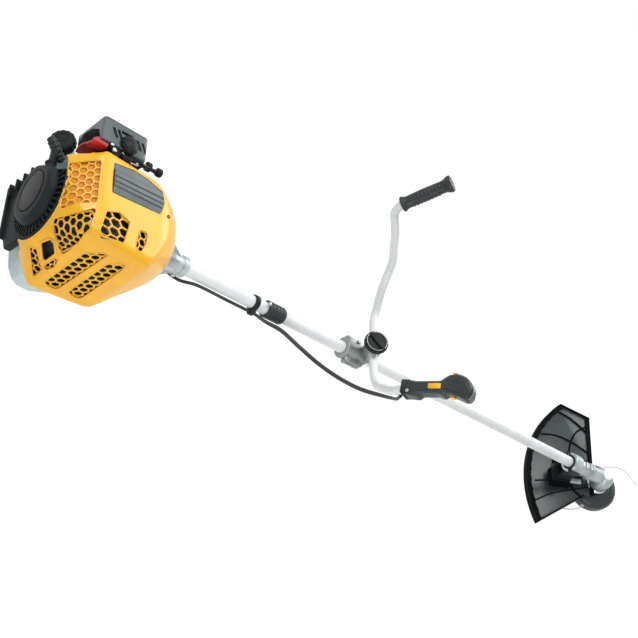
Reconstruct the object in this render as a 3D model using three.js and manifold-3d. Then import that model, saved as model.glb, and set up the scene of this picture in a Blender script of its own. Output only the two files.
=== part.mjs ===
// A petrol string trimmer: engine at the rear, straight shaft along +X, bicycle handlebar,
// angled gear head with line head and guard. Millimetres, +Z up, X forward, Y to the left.
// The origin is the middle of the flat underside of the engine foot.
import * as THREE from "three";
import { ConvexGeometry } from "three/addons/geometries/ConvexGeometry.js";
import { mergeVertices } from "three/addons/utils/BufferGeometryUtils.js";
import Module from "manifold-3d";

const wasm = await Module();
wasm.setup();

// ---- driving sizes --------------------------------------------------------------------
const fit = 0.3; // gap left between pieces that seat on each other
const axisHeight = 156; // crank and shaft axis above the floor
const tubeDiameter = 28;
const tubeWall = 1.5;
const exposedTube = 1372; // shaft tube between clutch nose and gear neck
const headTilt = 30; // degrees between the output axis and the square to the shaft

// engine stations along the crank axis
const recoilBackX = -152;
const recoilRimX = -132;
const recoilFrontX = -104;
const recoilRadius = 84;
const badgeRadius = 40;
const shellWall = 3;
const crankCenterX = -59;
const crankcaseRadius = 46;
const crankcaseLength = 82;
const crankThrow = 16;
const webRadius = 26;
const webThickness = 14;
const rodGap = 12; // between the two crank webs
const rodLength = 50;
const pistonRadius = 20;
const pistonHeight = 20;
const finSpan = 74;
const finCount = 5;
const flywheelRadius = 58;
const flywheelX = 8;
const flywheelThickness = 16;
const fanBladeDepth = 12;
const clutchX = 62;
const clutchShoeRadius = 28;
const clutchWidth = 22;
const drumWall = 3;
const clutchNoseX = 200;
const noseRadius = 19.5;
const clutchBodyRadius = 38;
const coverFrontX = 139;

// engine cover
const coverRearX = -85;
const coverShoulderX = 55;
const coverRight = -115;
const coverLeft = 72;
const coverOpenSide = 54; // below the top, the cover is open from here to the left
const coverTop = 132;
const coverFrontTop = 110;
const coverBottom = -115;
const hexPitch = 17;
const hexWall = 4;

// tank, foot and air box
const footThickness = 5.5;
const tankHeight = 72;
const tankRear = -108;
const tankFront = 64;
const tankRight = -106;
const tankLeft = 140;
const capRadius = 26;
const capThickness = 20;
const boxRear = -95;
const boxFront = 4;
const boxInner = 86;
const boxDepth = 56;
const boxTop = 122;
const boxHeight = 92;

// handlebar
const handleX = 698;
const handleRise = 50; // handlebar seat above the shaft axis
const handleTilt = 30;
const barDiameter = 19;
const barWall = 1.5;
const knobRadius = 27.5;
const gripLength = 118;

// gear case, line head and guard
const neckLength = 51;
const neckToAxis = 70;
const gearCaseRadius = 28;
const headRadius = 66;
const headTopDrop = 44; // below the point where shaft and output axes cross
const headDepth = 40;
const spoolFlangeRadius = 57;
const bumpRadius = 32;
const guardDrop = 38;
const guardPlate = 3;
const guardArcRadius = 310;
const guardArcForward = 94;
const guardArcSide = -14;
const lineRadius = 1.4;
const lineTurn = 58; // where the first line leaves the head, in degrees from forwards

// ---- derived stations -----------------------------------------------------------------
const tubeRadius = tubeDiameter / 2;
const socketRadius = tubeRadius + fit;
const barRadius = barDiameter / 2;
const gearNeckX = clutchNoseX + exposedTube;
const outputX = gearNeckX + neckLength + neckToAxis;
const tubeStartX = clutchNoseX - 50;
const tubeEndX = gearNeckX + 38;
const crankTopZ = crankThrow + rodLength;
const crownZ = crankTopZ + 14;
const DEG = Math.PI / 180;

// ---- materials ------------------------------------------------------------------------
const material = (color, roughness, metalness) =>
  new THREE.MeshStandardMaterial({ color, roughness, metalness });
const paint = {
  yellow: material(0xf4b413, 0.38, 0),
  black: material(0x1d1f21, 0.55, 0),
  grey: material(0x4a4e52, 0.45, 0),
  rubber: material(0x17181a, 0.8, 0),
  castAluminium: material(0xb9bdc0, 0.42, 0.9),
  tube: material(0xe4e6e8, 0.28, 0.6),
  steel: material(0x8d9195, 0.35, 1),
  milky: material(0xe8ecee, 0.4, 0),
  red: material(0xc4262b, 0.4, 0),
  foam: material(0x2a2c2e, 0.95, 0),
  line: material(0xe6e6e2, 0.35, 0),
};

// ---- solid helpers --------------------------------------------------------------------
function solid(geometry) {
  const bare = geometry.index ? geometry.toNonIndexed() : geometry.clone();
  bare.deleteAttribute("normal");
  bare.deleteAttribute("uv");
  const merged = mergeVertices(bare, 1e-4);
  return new wasm.Manifold(
    new wasm.Mesh({
      numProp: 3,
      vertProperties: new Float32Array(merged.attributes.position.array),
      triVerts: new Uint32Array(merged.index.array),
    }),
  );
}

function geometryOf(body) {
  const mesh = body.getMesh();
  const geometry = new THREE.BufferGeometry();
  geometry.setAttribute("position", new THREE.BufferAttribute(mesh.vertProperties, 3));
  geometry.setIndex(new THREE.BufferAttribute(mesh.triVerts, 1));
  geometry.computeVertexNormals();
  return geometry;
}

const union = (bodies) => bodies.reduce((sum, body) => sum.add(body));
const cut = (body, tools) => tools.reduce((rest, tool) => rest.subtract(tool), body);

function box(x0, x1, y0, y1, z0, z1) {
  const geometry = new THREE.BoxGeometry(x1 - x0, y1 - y0, z1 - z0);
  return solid(geometry.translate((x0 + x1) / 2, (y0 + y1) / 2, (z0 + z1) / 2));
}

// Turns a [radius, height] profile about Z; a profile that leaves the axis open is closed on itself.
function turned(profile, sides = 24) {
  const points = profile.map(([r, z]) => new THREE.Vector2(r, z));
  if (profile[0][0] > 0) points.push(points[0].clone());
  const geometry = new THREE.LatheGeometry(points, sides);
  return solid(geometry.rotateX(Math.PI / 2));
}

// Sends local Z along the world axis that is named.
const quarter = { x: [0, Math.PI / 2, 0], y: [-Math.PI / 2, 0, 0], z: [0, 0, 0] };
function along(axis, body, x = 0, y = 0, z = 0) {
  const matrix = new THREE.Matrix4().makeRotationFromEuler(new THREE.Euler(...quarter[axis]));
  matrix.setPosition(x, y, z);
  return body.transform(matrix.elements);
}

function tilted(body, degrees, x = 0, y = 0, z = 0) {
  const matrix = new THREE.Matrix4().makeRotationY(-degrees * DEG);
  matrix.setPosition(x, y, z);
  return body.transform(matrix.elements);
}

const moved = (body, x, y, z) => body.translate(x, y, z);
const rod = (radius, z0, z1, sides = 20) =>
  turned([[0, z0], [radius, z0], [radius, z1], [0, z1]], sides);
const ring = (inner, outer, z0, z1, sides = 24) =>
  turned([[inner, z0], [outer, z0], [outer, z1], [inner, z1]], sides);

function plate(points, z0, z1) {
  const shape = new THREE.Shape(points.map(([x, y]) => new THREE.Vector2(x, y)));
  const geometry = new THREE.ExtrudeGeometry(shape, { depth: z1 - z0, bevelEnabled: false });
  return solid(geometry.translate(0, 0, z0));
}

// A flat piece drawn in the Y, Z plane and thickened along X.
function plateX(points, x0, x1) {
  const matrix = new THREE.Matrix4().set(0, 0, 1, 0, 1, 0, 0, 0, 0, 1, 0, 0, 0, 0, 0, 1);
  return plate(points, x0, x1).transform(matrix.elements);
}

// A flat piece drawn in the X, Z plane and thickened along Y.
function plateY(points, y0, y1) {
  const matrix = new THREE.Matrix4().set(1, 0, 0, 0, 0, 0, -1, 0, 0, 1, 0, 0, 0, 0, 0, 1);
  return plate(points, -y1, -y0).transform(matrix.elements);
}

function arc(cx, cy, radius, from, to, steps) {
  return Array.from({ length: steps + 1 }, (_, i) => {
    const angle = (from + ((to - from) * i) / steps) * DEG;
    return [cx + radius * Math.cos(angle), cy + radius * Math.sin(angle)];
  });
}

function roundTube(points, radius, wall, sides, steps) {
  const curve = new THREE.CatmullRomCurve3(
    points.map(([x, y, z]) => new THREE.Vector3(x, y, z)), false, "centripetal");
  const shape = new THREE.Shape(
    arc(0, 0, radius, 0, 360 - 360 / sides, sides - 1).map(([x, y]) => new THREE.Vector2(x, y)));
  if (wall > 0) {
    shape.holes.push(new THREE.Path(
      arc(0, 0, radius - wall, 0, 360 - 360 / sides, sides - 1)
        .map(([x, y]) => new THREE.Vector2(x, y))));
  }
  return solid(new THREE.ExtrudeGeometry(shape, { steps, extrudePath: curve, bevelEnabled: false }));
}

const hull = (points) =>
  solid(new ConvexGeometry(points.map(([x, y, z]) => new THREE.Vector3(x, y, z))));

function mesh(group, name, body, finish) {
  const piece = new THREE.Mesh(geometryOf(body), finish);
  piece.name = name;
  group.add(piece);
  return piece;
}

// ---- engine: everything below is drawn about the crank axis ---------------------------
const engine = new THREE.Group();
engine.position.z = axisHeight;

const caseRear = crankCenterX - crankcaseLength / 2;
const caseFront = crankCenterX + crankcaseLength / 2;
const deckZ = crankcaseRadius + 1;
const boreRadius = pistonRadius + fit;
const mainBore = 9;
const rearStub = 46;

function crankcase() {
  const half = crankcaseLength / 2;
  const body = along("x", rod(crankcaseRadius, -half, half, 28), crankCenterX);
  const deck = box(caseRear + 4, caseFront - 4, -34, 34, 20, deckZ);
  const base = box(caseRear, caseFront, -30, 30, 6 - axisHeight + tankHeight + 8, -20);
  const cavity = along("x", rod(webRadius + 6, 5 - half, half - 5, 24), crankCenterX);
  const bore = moved(rod(boreRadius, 0, deckZ + 1, 24), crankCenterX, 0, 0);
  const shaftBore = along("x", rod(mainBore, -half - 1, half + 1, 16), crankCenterX);
  return cut(union([body, deck, base]), [cavity, bore, shaftBore]);
}

function crankHalf(side, stubEnd) {
  const near = rodGap / 2;
  const far = near + webThickness;
  const stub = mainBore - 1;
  const profile = side > 0
    ? [[0, near], [webRadius, near], [webRadius, far], [stub, far], [stub, stubEnd], [0, stubEnd]]
    : [[0, -stubEnd], [stub, -stubEnd], [stub, -far], [webRadius, -far], [webRadius, -near],
      [0, -near]];
  return along("x", turned(profile, 24), crankCenterX);
}

function connectingRod() {
  const width = rodGap - 3;
  const bigEnd = along("x", rod(12, -width / 2, width / 2), crankCenterX, 0, crankThrow);
  const smallEnd = along("x", rod(8, -width / 2, width / 2), crankCenterX, 0, crankTopZ);
  const shank = box(crankCenterX - 3, crankCenterX + 3, -4, 4, crankThrow, crankTopZ);
  const wristHole = along("x", rod(4.3, -width, width, 16), crankCenterX, 0, crankTopZ);
  return cut(union([bigEnd, smallEnd, shank]), [wristHole]);
}

function piston() {
  const crown = moved(rod(pistonRadius, crownZ - pistonHeight, crownZ), crankCenterX, 0, 0);
  const inside = moved(rod(pistonRadius - 3, crownZ - pistonHeight - 1, crownZ - 4),
    crankCenterX, 0, 0);
  const pinHole = along("x", rod(4.3, -30, 30, 16), crankCenterX, 0, crankTopZ);
  return cut(crown, [inside, pinHole]);
}

const headZ = crownZ + 1; // roof of the combustion chamber
const cylinderTop = headZ + 9;
const finStart = deckZ + 8;

function cylinder() {
  const barrel = moved(rod(27, deckZ + fit, cylinderTop, 24), crankCenterX, 0, 0);
  const step = (cylinderTop - finStart) / finCount;
  const fins = Array.from({ length: finCount }, (_, i) => {
    const z = finStart + step * i;
    const half = finSpan / 2;
    return box(crankCenterX - half, crankCenterX + half, -half, half, z, z + 2.4);
  });
  const flange = box(crankCenterX - 32, crankCenterX + 32, -32, 32, deckZ + fit, deckZ + 5);
  const bore = moved(rod(boreRadius, deckZ - 1, headZ, 24), crankCenterX, 0, 0);
  const plugHole = moved(rod(6.4, headZ - 1, cylinderTop + 1, 12), crankCenterX, 0, 0);
  return cut(union([barrel, flange, ...fins]), [bore, plugHole]);
}

const plugSeat = cylinderTop + fit;
function sparkPlug() {
  return moved(turned([[0, headZ + 2], [6, headZ + 2], [6, plugSeat], [10, plugSeat],
    [10, plugSeat + 6], [9, plugSeat + 7.5], [11, plugSeat + 16], [9, plugSeat + 25],
    [0, plugSeat + 26]], 12), crankCenterX, 0, 0);
}

const mufflerInner = -(finSpan / 2 + 8);
function muffler() {
  const body = box(crankCenterX - 34, crankCenterX + 38, coverRight + 13, mufflerInner, 18, 84);
  const neck = box(crankCenterX - 16, crankCenterX + 16, mufflerInner - 1, -(finSpan / 2 + fit),
    58, 78);
  const louvres = [30, 42, 54, 66].map((z) =>
    box(crankCenterX - 24, crankCenterX + 28, coverRight + 12, coverRight + 15, z, z + 4));
  const room = box(crankCenterX - 32.5, crankCenterX + 36.5, coverRight + 15.5, mufflerInner - 1.5,
    19.5, 82.5);
  const port = box(crankCenterX - 13, crankCenterX + 13, mufflerInner - 3, -(finSpan / 2) + 1,
    61, 75);
  return cut(body.add(neck), [room, port, ...louvres]);
}

function flywheel() {
  const disc = ring(mainBore - 1 + fit, flywheelRadius, 0, flywheelThickness, 32);
  const blades = Array.from({ length: 12 }, (_, i) =>
    box(22, flywheelRadius - 2, -1.6, 1.6, flywheelThickness - 1,
      flywheelThickness + fanBladeDepth).rotate([0, 0, i * 30]));
  return along("x", union([disc, ...blades]), flywheelX);
}

function clutchShoes() {
  const hub = ring(mainBore - 1 + fit, clutchShoeRadius, 0, clutchWidth, 28);
  const slots = [0, 90].map((turn) =>
    box(mainBore + 4, clutchShoeRadius + 2, -2, 2, -1, clutchWidth + 1).rotate([0, 0, turn]));
  const back = [180, 270].map((turn) =>
    box(mainBore + 4, clutchShoeRadius + 2, -2, 2, -1, clutchWidth + 1).rotate([0, 0, turn]));
  return along("x", cut(hub, [...slots, ...back]), clutchX);
}

// ---- recoil starter -------------------------------------------------------------------
const guideX = -133.5;
const guideZ = 20;
const guideStart = 42;
const guideEnd = 62;
const skirtLow = -122;
const skirtSide = 74;
const skirtPoints = (inset) => [
  [-69 + inset, -60], [-69 + inset, skirtLow + 14], [-36, skirtLow + inset],
  [skirtSide - inset, skirtLow + inset], [skirtSide - inset, -28], [40, 0], [-40, 0]];
const ropeSideTurn = 26.6; // degrees from level of the normal of the flat beside the rope
const ropeSideReach = 50; // distance of that flat from the crank axis

const slotCount = 24;
function recoilHousing() {
  const hubRear = recoilBackX;
  const w = shellWall;
  const flatBeyond = (reach) =>
    box(-200, 200, reach, 200, -200, 200).rotate([ropeSideTurn, 0, 0]);
  const bowlOuter = along("x", turned([
    [0, hubRear], [54, hubRear], [60, hubRear + 4], [66, recoilRimX - 2],
    [recoilRadius, recoilRimX], [recoilRadius, recoilFrontX], [0, recoilFrontX]], 40));
  const bowlInner = along("x", turned([
    [0, hubRear + w], [53, hubRear + w], [57, hubRear + 8], [65, recoilRimX + 1],
    [recoilRadius - w, recoilRimX + w], [recoilRadius - w, recoilFrontX + 1],
    [0, recoilFrontX + 1]], 40));
  const bowl = cut(cut(bowlOuter, [flatBeyond(ropeSideReach)]),
    [cut(bowlInner, [flatBeyond(ropeSideReach - w)])]);
  const skirt = plateX(skirtPoints(0), recoilRimX - 1, recoilFrontX - 14);
  const skirtHollow = plateX(skirtPoints(w), recoilRimX + w, recoilFrontX - 13);
  const inside = along("x", rod(recoilRadius - w + 0.5, recoilRimX - 12, recoilFrontX + 1, 48));
  const slots = Array.from({ length: slotCount }, (_, i) =>
    along("x", box(68, 79, -1.7, 1.7, recoilRimX - 8, recoilRimX + 8).rotate([0, 0, (i * 360) / slotCount])));
  const guide = along("y", rod(9.5, guideStart, guideEnd, 16), guideX, 0, guideZ);
  const guideHole = along("y", rod(4, guideStart - 14, guideEnd + 1, 10), guideX, 0, guideZ);
  const skirtShell = cut(skirt, [skirtHollow, inside]);
  return cut(union([cut(bowl, slots), skirtShell, guide]), [guideHole]);
}

function starterBadge() {
  return along("x", rod(badgeRadius, -1.6 - fit, -fit, 48), recoilBackX);
}

const pulleyRadius = 34;
function starterPulley() {
  const flange = pulleyRadius + 6;
  return along("x", turned([[7, -6.5], [flange, -6.5], [flange, -3.5], [pulleyRadius, -2.5],
    [pulleyRadius, 2.5], [flange, 3.5], [flange, 7.5], [7, 7.5]], 28), guideX);
}

// The rope leaves the pulley groove at a tangent and turns at the inner end of its guide.
function starterRope() {
  const ropeRadius = 2.2;
  const onGroove = pulleyRadius + ropeRadius + fit;
  const eyeY = guideStart - 4;
  const reach = Math.hypot(eyeY, guideZ);
  const leave = Math.atan2(guideZ, eyeY) + Math.acos(onGroove / reach);
  const touch = [guideX, onGroove * Math.cos(leave), onGroove * Math.sin(leave)];
  return roundTube([touch, [guideX, (touch[1] + eyeY) / 2, (touch[2] + guideZ) / 2],
    [guideX, eyeY, guideZ], [guideX, guideStart + 4, guideZ], [guideX, guideEnd + 4, guideZ]],
  ropeRadius, 0, 8, 12);
}

const gripHalf = 24;
const gripTurn = [0, 10, -44];

function starterHandle() {
  const stemEnd = guideEnd + 12;
  const stem = along("y", turned([[2.5, guideEnd + fit], [7, guideEnd + fit],
    [9, stemEnd], [2.5, stemEnd]], 16), guideX, 0, guideZ);
  const ribs = Array.from({ length: 5 }, (_, i) => {
    const start = -gripHalf + 6 + i * 8;
    return rod(10.5, start, start + 4, 12);
  });
  const grip = union([rod(8.5, -gripHalf, gripHalf, 12), ...ribs]);
  const placed = along("x", grip).rotate(gripTurn).translate([guideX, guideEnd + 24, guideZ + 12]);
  const web = box(guideX - 7, guideX + 7, stemEnd - 2, stemEnd + 12, guideZ - 5, guideZ + 12);
  const ropeHole = along("y", rod(2.5, 0, guideEnd + 5, 8), guideX, 0, guideZ);
  return cut(union([stem, web, placed]), [ropeHole]);
}

// ---- carburettor side -----------------------------------------------------------------
const portZ = 68;
const insulatorY = finSpan / 2 + fit;
const carbY = insulatorY + 18;
const carbHalf = 17;
const baseY = boxInner - 5;
const bulbRadius = 11;
const bulbX = crankCenterX - 14;
const bulbZ = boxTop - boxHeight + 13;
const carbLow = bulbZ + bulbRadius;
const carbTop = portZ + 20;
const shaftX = crankCenterX + 4;
const shaftY = (carbY + baseY) / 2;

function carburettor() {
  const body = box(crankCenterX - carbHalf, crankCenterX + carbHalf, carbY, baseY - fit,
    carbLow, carbTop);
  const spacer = box(crankCenterX - 16, crankCenterX + 16, insulatorY, carbY + 1,
    carbLow + 2, carbTop - 6);
  const boss = moved(rod(9, carbTop - 1, carbTop + 6, 16), shaftX, shaftY, 0);
  const throat = along("y", rod(8, insulatorY - 1, baseY + 1, 16), crankCenterX, 0, portZ);
  const post = moved(rod(2.3, carbTop, carbTop + 8, 8), shaftX, shaftY, 0);
  return cut(union([body, boss, spacer]), [throat, post]);
}

function throttleArm() {
  const pin = moved(rod(2, carbTop + 1, carbTop + 11, 8), shaftX, shaftY, 0);
  const arm = box(shaftX - 3, shaftX + 30, shaftY - 4, shaftY + 4, carbTop + 7, carbTop + 10);
  const end = moved(rod(4.5, carbTop + 10, carbTop + 15, 12), shaftX + 26, shaftY, 0);
  return union([pin, arm, end]);
}

function cableBracket() {
  const near = crankCenterX + carbHalf + fit;
  const foot = box(near, near + 4, carbY + 2, baseY - 4, carbLow + 2, carbTop);
  const shelf = box(near + 2, crankCenterX + 62, carbY + 4, carbY + 16, carbTop - 4, carbTop);
  const stop = along("x", rod(6, 0, 26, 12), crankCenterX + 58, carbY + 10, carbTop + 2);
  return union([foot, shelf, stop]);
}

function airFilterBase() {
  const panel = box(boxRear, boxFront, baseY, boxInner, boxTop - boxHeight, boxTop - 3);
  const bulbHole = along("y", rod(bulbRadius + 0.6, baseY - 1, boxInner + 1, 16), bulbX, 0, bulbZ);
  return cut(panel, [along("y", rod(8, baseY - 1, boxInner + 1, 16), crankCenterX, 0, portZ),
    bulbHole]);
}

function airFilterElement() {
  return box(boxRear + 8, boxFront - 8, boxInner + 6, boxInner + 24,
    boxTop - boxHeight + 8, boxTop - 12);
}

function airFilterCover() {
  const outline = (inset) => [
    [boxRear + inset, boxTop - boxHeight + inset],
    [boxFront - 8 - inset, boxTop - boxHeight + inset],
    [boxFront - inset, boxTop - boxHeight + 12 + inset], [boxFront - inset, boxTop - inset],
    [boxRear + inset, boxTop - inset]];
  const shell = plateY(outline(0), boxInner + fit, boxInner + boxDepth);
  const inside = plateY(outline(shellWall), boxInner - 1, boxInner + boxDepth - shellWall);
  const slots = [-66, -56, -22, -12].map((x) =>
    box(x, x + 5, boxInner + 12, boxInner + 42, boxTop - shellWall - 1, boxTop + 1));
  const outerFace = boxInner + boxDepth;
  const corner = plateX([[outerFace - 16, boxTop + 1], [outerFace + 1, boxTop + 1],
    [outerFace + 1, boxTop - 20]], boxRear - 1, boxFront + 1);
  const refill = plateX([[outerFace - 20, boxTop - 1], [outerFace - 16, boxTop],
    [outerFace, boxTop - 20], [outerFace - 4, boxTop - 20]], boxRear, boxFront);
  return union([cut(shell, [inside, corner, ...slots]), cut(refill, [
    box(boxRear - 1, boxFront + 1, 0, outerFace + 9, boxTop, boxTop + 9)])]);
}

const knobX = -40;
function filterKnob() {
  return moved(turned([[0, boxTop + fit], [17, boxTop + fit], [18, boxTop + 6],
    [14, boxTop + 13], [6, boxTop + 16], [0, boxTop + 16]], 20), knobX, boxInner + 12, 0);
}

function chokeLever() {
  const pivotX = boxRear + 5;
  const pivotZ = carbTop - 10;
  const hub = along("y", rod(5, baseY - 6, baseY - fit, 14), pivotX, 0, pivotZ);
  const lever = box(pivotX - 24, pivotX, baseY - 5, baseY - 2, pivotZ - 4, pivotZ + 10);
  return hub.add(lever);
}

function primerBulb() {
  return along("y", turned([[0, -14], [6, -12], [10, -6], [11, -fit], [0, -fit]], 16),
    bulbX, baseY, bulbZ);
}

// ---- tank and foot --------------------------------------------------------------------
const tankBottom = 6 - axisHeight;
const tankTop = tankBottom + tankHeight;
const capPlane = 73.5;
const capY = 131;
const capShift = -74;

function capAligned(body) {
  const turnBack = new THREE.Matrix4().makeRotationY(-45 * DEG);
  const point = new THREE.Vector3(capShift, 0, capPlane).applyMatrix4(turnBack);
  turnBack.setPosition(point.x, capY, point.z);
  return body.transform(turnBack.elements);
}

function fuelTank() {
  const lowOutline = (inset) => [
    [tankRear + inset, -20], [tankRear + 8 + inset, -75 + inset], [-88 + inset, -98 + inset],
    [-72, tankRight + inset], [-48, tankRight + inset], [tankFront - inset, -70 + inset],
    [tankFront - inset, tankLeft - 22], [tankFront - 20, tankLeft - inset],
    [tankRear + 20, tankLeft - inset], [tankRear + inset, tankLeft - 20]];
  const lowBody = (inset) => hull([
    ...lowOutline(inset + 10).map(([x, y]) => [x, y, tankBottom + inset]),
    ...lowOutline(inset).map(([x, y]) => [x, y, tankBottom + 16]),
    ...lowOutline(inset).map(([x, y]) => [x, y, tankTop - 12]),
    ...lowOutline(inset + 8).map(([x, y]) => [x, y, tankTop - inset])]);
  const low = lowBody(0);
  const lowInside = lowBody(4);
  const riserOutline = (inset) => [
    [-80 + inset, tankTop - 20], [-34 - inset, tankTop - 20], [-34 - inset, -60],
    [-46 - inset, -34], [-86, 4 - inset], [-108 + inset, -18], [-80 + inset, -52]];
  const riser = plateY(riserOutline(0), recoilRadius + 16, tankLeft);
  const riserInside = plateY(riserOutline(4), recoilRadius + 20, tankLeft - 4);
  const neck = capAligned(rod(18, -24, 0, 24));
  const neckBore = capAligned(rod(14, -34, 1, 24));
  const skirtRoom = box(recoilRimX - 9, recoilFrontX - 11, -73, skirtSide + 2,
    skirtLow - 2, 0);
  return cut(union([low, riser, neck]), [lowInside, riserInside, neckBore, skirtRoom]);
}

function fuelCap() {
  const body = turned([[0, fit], [capRadius, fit], [capRadius, capThickness - 4],
    [capRadius - 5, capThickness], [0, capThickness]], 28);
  const grips = Array.from({ length: 10 }, (_, i) =>
    box(capRadius - 1.5, capRadius + 3, -2.4, 2.4, -1, capThickness - 6).rotate([0, 0, i * 36]));
  return capAligned(cut(body, grips));
}

function engineFoot() {
  const floor = -axisHeight;
  const top = floor + footThickness;
  const runners = [-1, 1].map((side) =>
    box(-76, 52, side * 56 - 14, side * 56 + 14, floor, top));
  const cross = [[-30, 0], [-72, -54], [30, 48]].map(([x0, x1]) =>
    box(x0, x1, -50, 50, floor, top));
  return union([...runners, ...cross]);
}

// ---- engine cover ---------------------------------------------------------------------
const coverSections = (inset) => {
  const right = coverRight + inset;
  const left = coverLeft - inset;
  const low = coverBottom;
  const rear = coverRearX + inset * 0.6;
  const front = coverShoulderX;
  const top = coverTop - inset;
  const frontTop = coverFrontTop - inset;
  return [
    ...arc(0, 0, recoilRadius + 4 - inset, 0, 345, 23).map(([y, z]) =>
      [recoilRimX + inset * 0.4, y, z]),
    [rear + 16, right - 3, low], [rear, right, top - 7], [rear, left - 22, top],
    [rear, left, low], [coverRearX + 42, left, top - 9],
    [front + 6, right + 1, low], [front - 6, right + 1, frontTop + 1],
    [front - 24, left, frontTop + 5], [front - 6, left, low + 2],
    ...arc(0, 0, 98 - inset, 50, 180, 8).map(([y, z]) => [front + 14, y - 8, z + 12]),
    ...arc(0, 0, 88 - inset, -70, 200, 12).map(([y, z]) => [front + 45, y - 4, z + 10]),
    ...arc(0, 0, 66 - inset, -80, 200, 12).map(([y, z]) => [front + 70, y - 2, z + 5]),
    ...arc(0, 0, clutchBodyRadius + 5 - inset, 0, 337.5, 15).map(([y, z]) =>
      [coverFrontX - inset, y, z]),
  ];
};

// Hexagonal cells on a flat field: rows of centres inside the outline, as [u, v] pairs.
function hexCenters(outline, margin) {
  const shape = outline.map(([x, y]) => new THREE.Vector2(x, y));
  const us = shape.map((p) => p.x);
  const vs = shape.map((p) => p.y);
  const rowStep = (hexPitch * Math.sqrt(3)) / 2;
  const centers = [];
  let row = 0;
  for (let v = Math.min(...vs) + hexPitch / 2; v < Math.max(...vs); v += rowStep) {
    const start = Math.min(...us) + (row % 2 ? hexPitch : hexPitch / 2);
    for (let u = start; u < Math.max(...us); u += hexPitch) {
      if (insideBy(shape, u, v, margin)) centers.push([u, v]);
    }
    row += 1;
  }
  return centers;
}

// True when (u, v) lies inside a convex counter-clockwise outline by at least the margin.
function insideBy(shape, u, v, margin) {
  return shape.every((a, i) => {
    const b = shape[(i + 1) % shape.length];
    const length = Math.hypot(b.x - a.x, b.y - a.y);
    return ((b.x - a.x) * (v - a.y) - (b.y - a.y) * (u - a.x)) / length >= margin;
  });
}

// Hexagonal punches along local Z, moved onto the wall by a frame [u, v, w, origin].
function hexPunches(outline, frame, depth, stretch = 1) {
  const radius = ((hexPitch - hexWall) / 2) * (2 / Math.sqrt(3));
  return hexCenters(outline, hexPitch * 0.42).map(([cu, cv]) => {
    const corners = arc(0, 0, radius, 30, 330, 5).map(([x, y]) => [cu + x * stretch, cv + y]);
    return framed(plate(corners, -depth, depth), frame);
  });
}

// Frame on the sloping top of the cover: u forwards, v to the left, w outwards.
const topSlope = Math.atan2(coverFrontTop - coverTop, coverShoulderX - coverRearX);
const topFrame = (x, y) => [[Math.cos(topSlope), 0, Math.sin(topSlope)], [0, 1, 0],
  [-Math.sin(topSlope), 0, Math.cos(topSlope)],
  [x, y, coverTop + Math.tan(topSlope) * (x - coverRearX)]];

function framed(body, frame) {
  const [u, v, w, origin] = frame.map((p) => new THREE.Vector3(...p));
  const matrix = new THREE.Matrix4().makeBasis(u.normalize(), v.normalize(), w.normalize());
  matrix.setPosition(origin);
  return body.transform(matrix.elements);
}

// Outline of the opening in the top, from its centre, grown by the given margin.
const panelOutline = (grow) => [[-60, -37], [56, -20], [66, -8], [60, 28], [42, 42], [-30, 40],
  [-68, 20]].map(([u, v]) => [u * (1 + grow / 60), v * (1 + grow / 36)]);
const panelFrame = topFrame(0, 20);

function coverPanel() {
  const under = hull(coverSections(shellWall + fit));
  const deeper = hull(coverSections(shellWall + fit + 2));
  const flush = hull(coverSections(0.6));
  const lid = (grow) => framed(plate(panelOutline(grow), -30, 12), panelFrame);
  const base = cut(under.intersect(lid(3)), [deeper]);
  const step = cut(flush.intersect(lid(-1)), [deeper]);
  return base.add(step);
}

function coverVents() {
  const sideFrame = (x) => [[0, 0, 1], [1, 0, 0], [0, 1, 0], [x, coverRight + 1, -88]];
  const ventLong = [[0, 0], [164, 0], [164, 32], [0, 32]];
  const window = [[0, 0], [56, 0], [56, 62], [0, 62]];
  const rearFrame = [[0, 0, 1], [coverRearX - recoilRimX, coverRight + recoilRadius + 4, 0],
    [recoilRadius + 4 + coverRight, recoilRimX - coverRearX, 0],
    [recoilRimX, -(recoilRadius + 4), 0]];
  const lowerField = [[-104, 52], [-6, 8], [-6, 52]];
  return [
    ...hexPunches(ventLong, sideFrame(-52), 12),
    ...hexPunches(ventLong, sideFrame(-3), 12),
    ...hexPunches(window, topFrame(-69, -110), 20),
    ...hexPunches(lowerField, rearFrame, 12),
    framed(plate(panelOutline(0), -12, 12), panelFrame),
  ];
}

function engineCover() {
  const outer = hull(coverSections(0));
  const inner = hull(coverSections(shellWall));
  const openSide = box(-200, 200, coverOpenSide, 200, -200, 106);
  const belowCover = box(-200, 200, -200, 200, -200, coverBottom - 8);
  const recoilOpening = along("x", rod(recoilRadius + 1.5, -200, coverRearX, 48));
  const noseOpening = along("x", rod(clutchBodyRadius + 1.5, 0, 200, 32));
  const openLow = (-recoilRadius * 5) / 7;
  const tankRoom = plateX([[coverRight - 5, coverBottom - 2], [-80, -14], [-40, openLow],
    [200, openLow], [200, -200], [coverRight - 5, -200]], -200, coverRearX);
  const bottomOpening = box(coverRearX - 1, tankFront + 1, coverRight + shellWall + 1, 200,
    -200, openLow);
  const guideNotch = along("y", rod(10.5, guideStart - 30, guideEnd + 10, 20), guideX, 0, guideZ);
  const frontLow = box(0, 200, -70, 200, -200, -64);
  const cableNotch = box(112, 142, 42, 60, -24, 3);
  return cut(outer, [inner, openSide, belowCover, recoilOpening, noseOpening, tankRoom,
    bottomOpening, frontLow, guideNotch, cableNotch, ...coverVents()]);
}

// ---- clutch housing, drum and shaft ---------------------------------------------------
const boreX = clutchX + clutchWidth + 12;
const drumStub = 9;
const driveRadius = 4;
const drumInner = clutchShoeRadius + 1.5;

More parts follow.
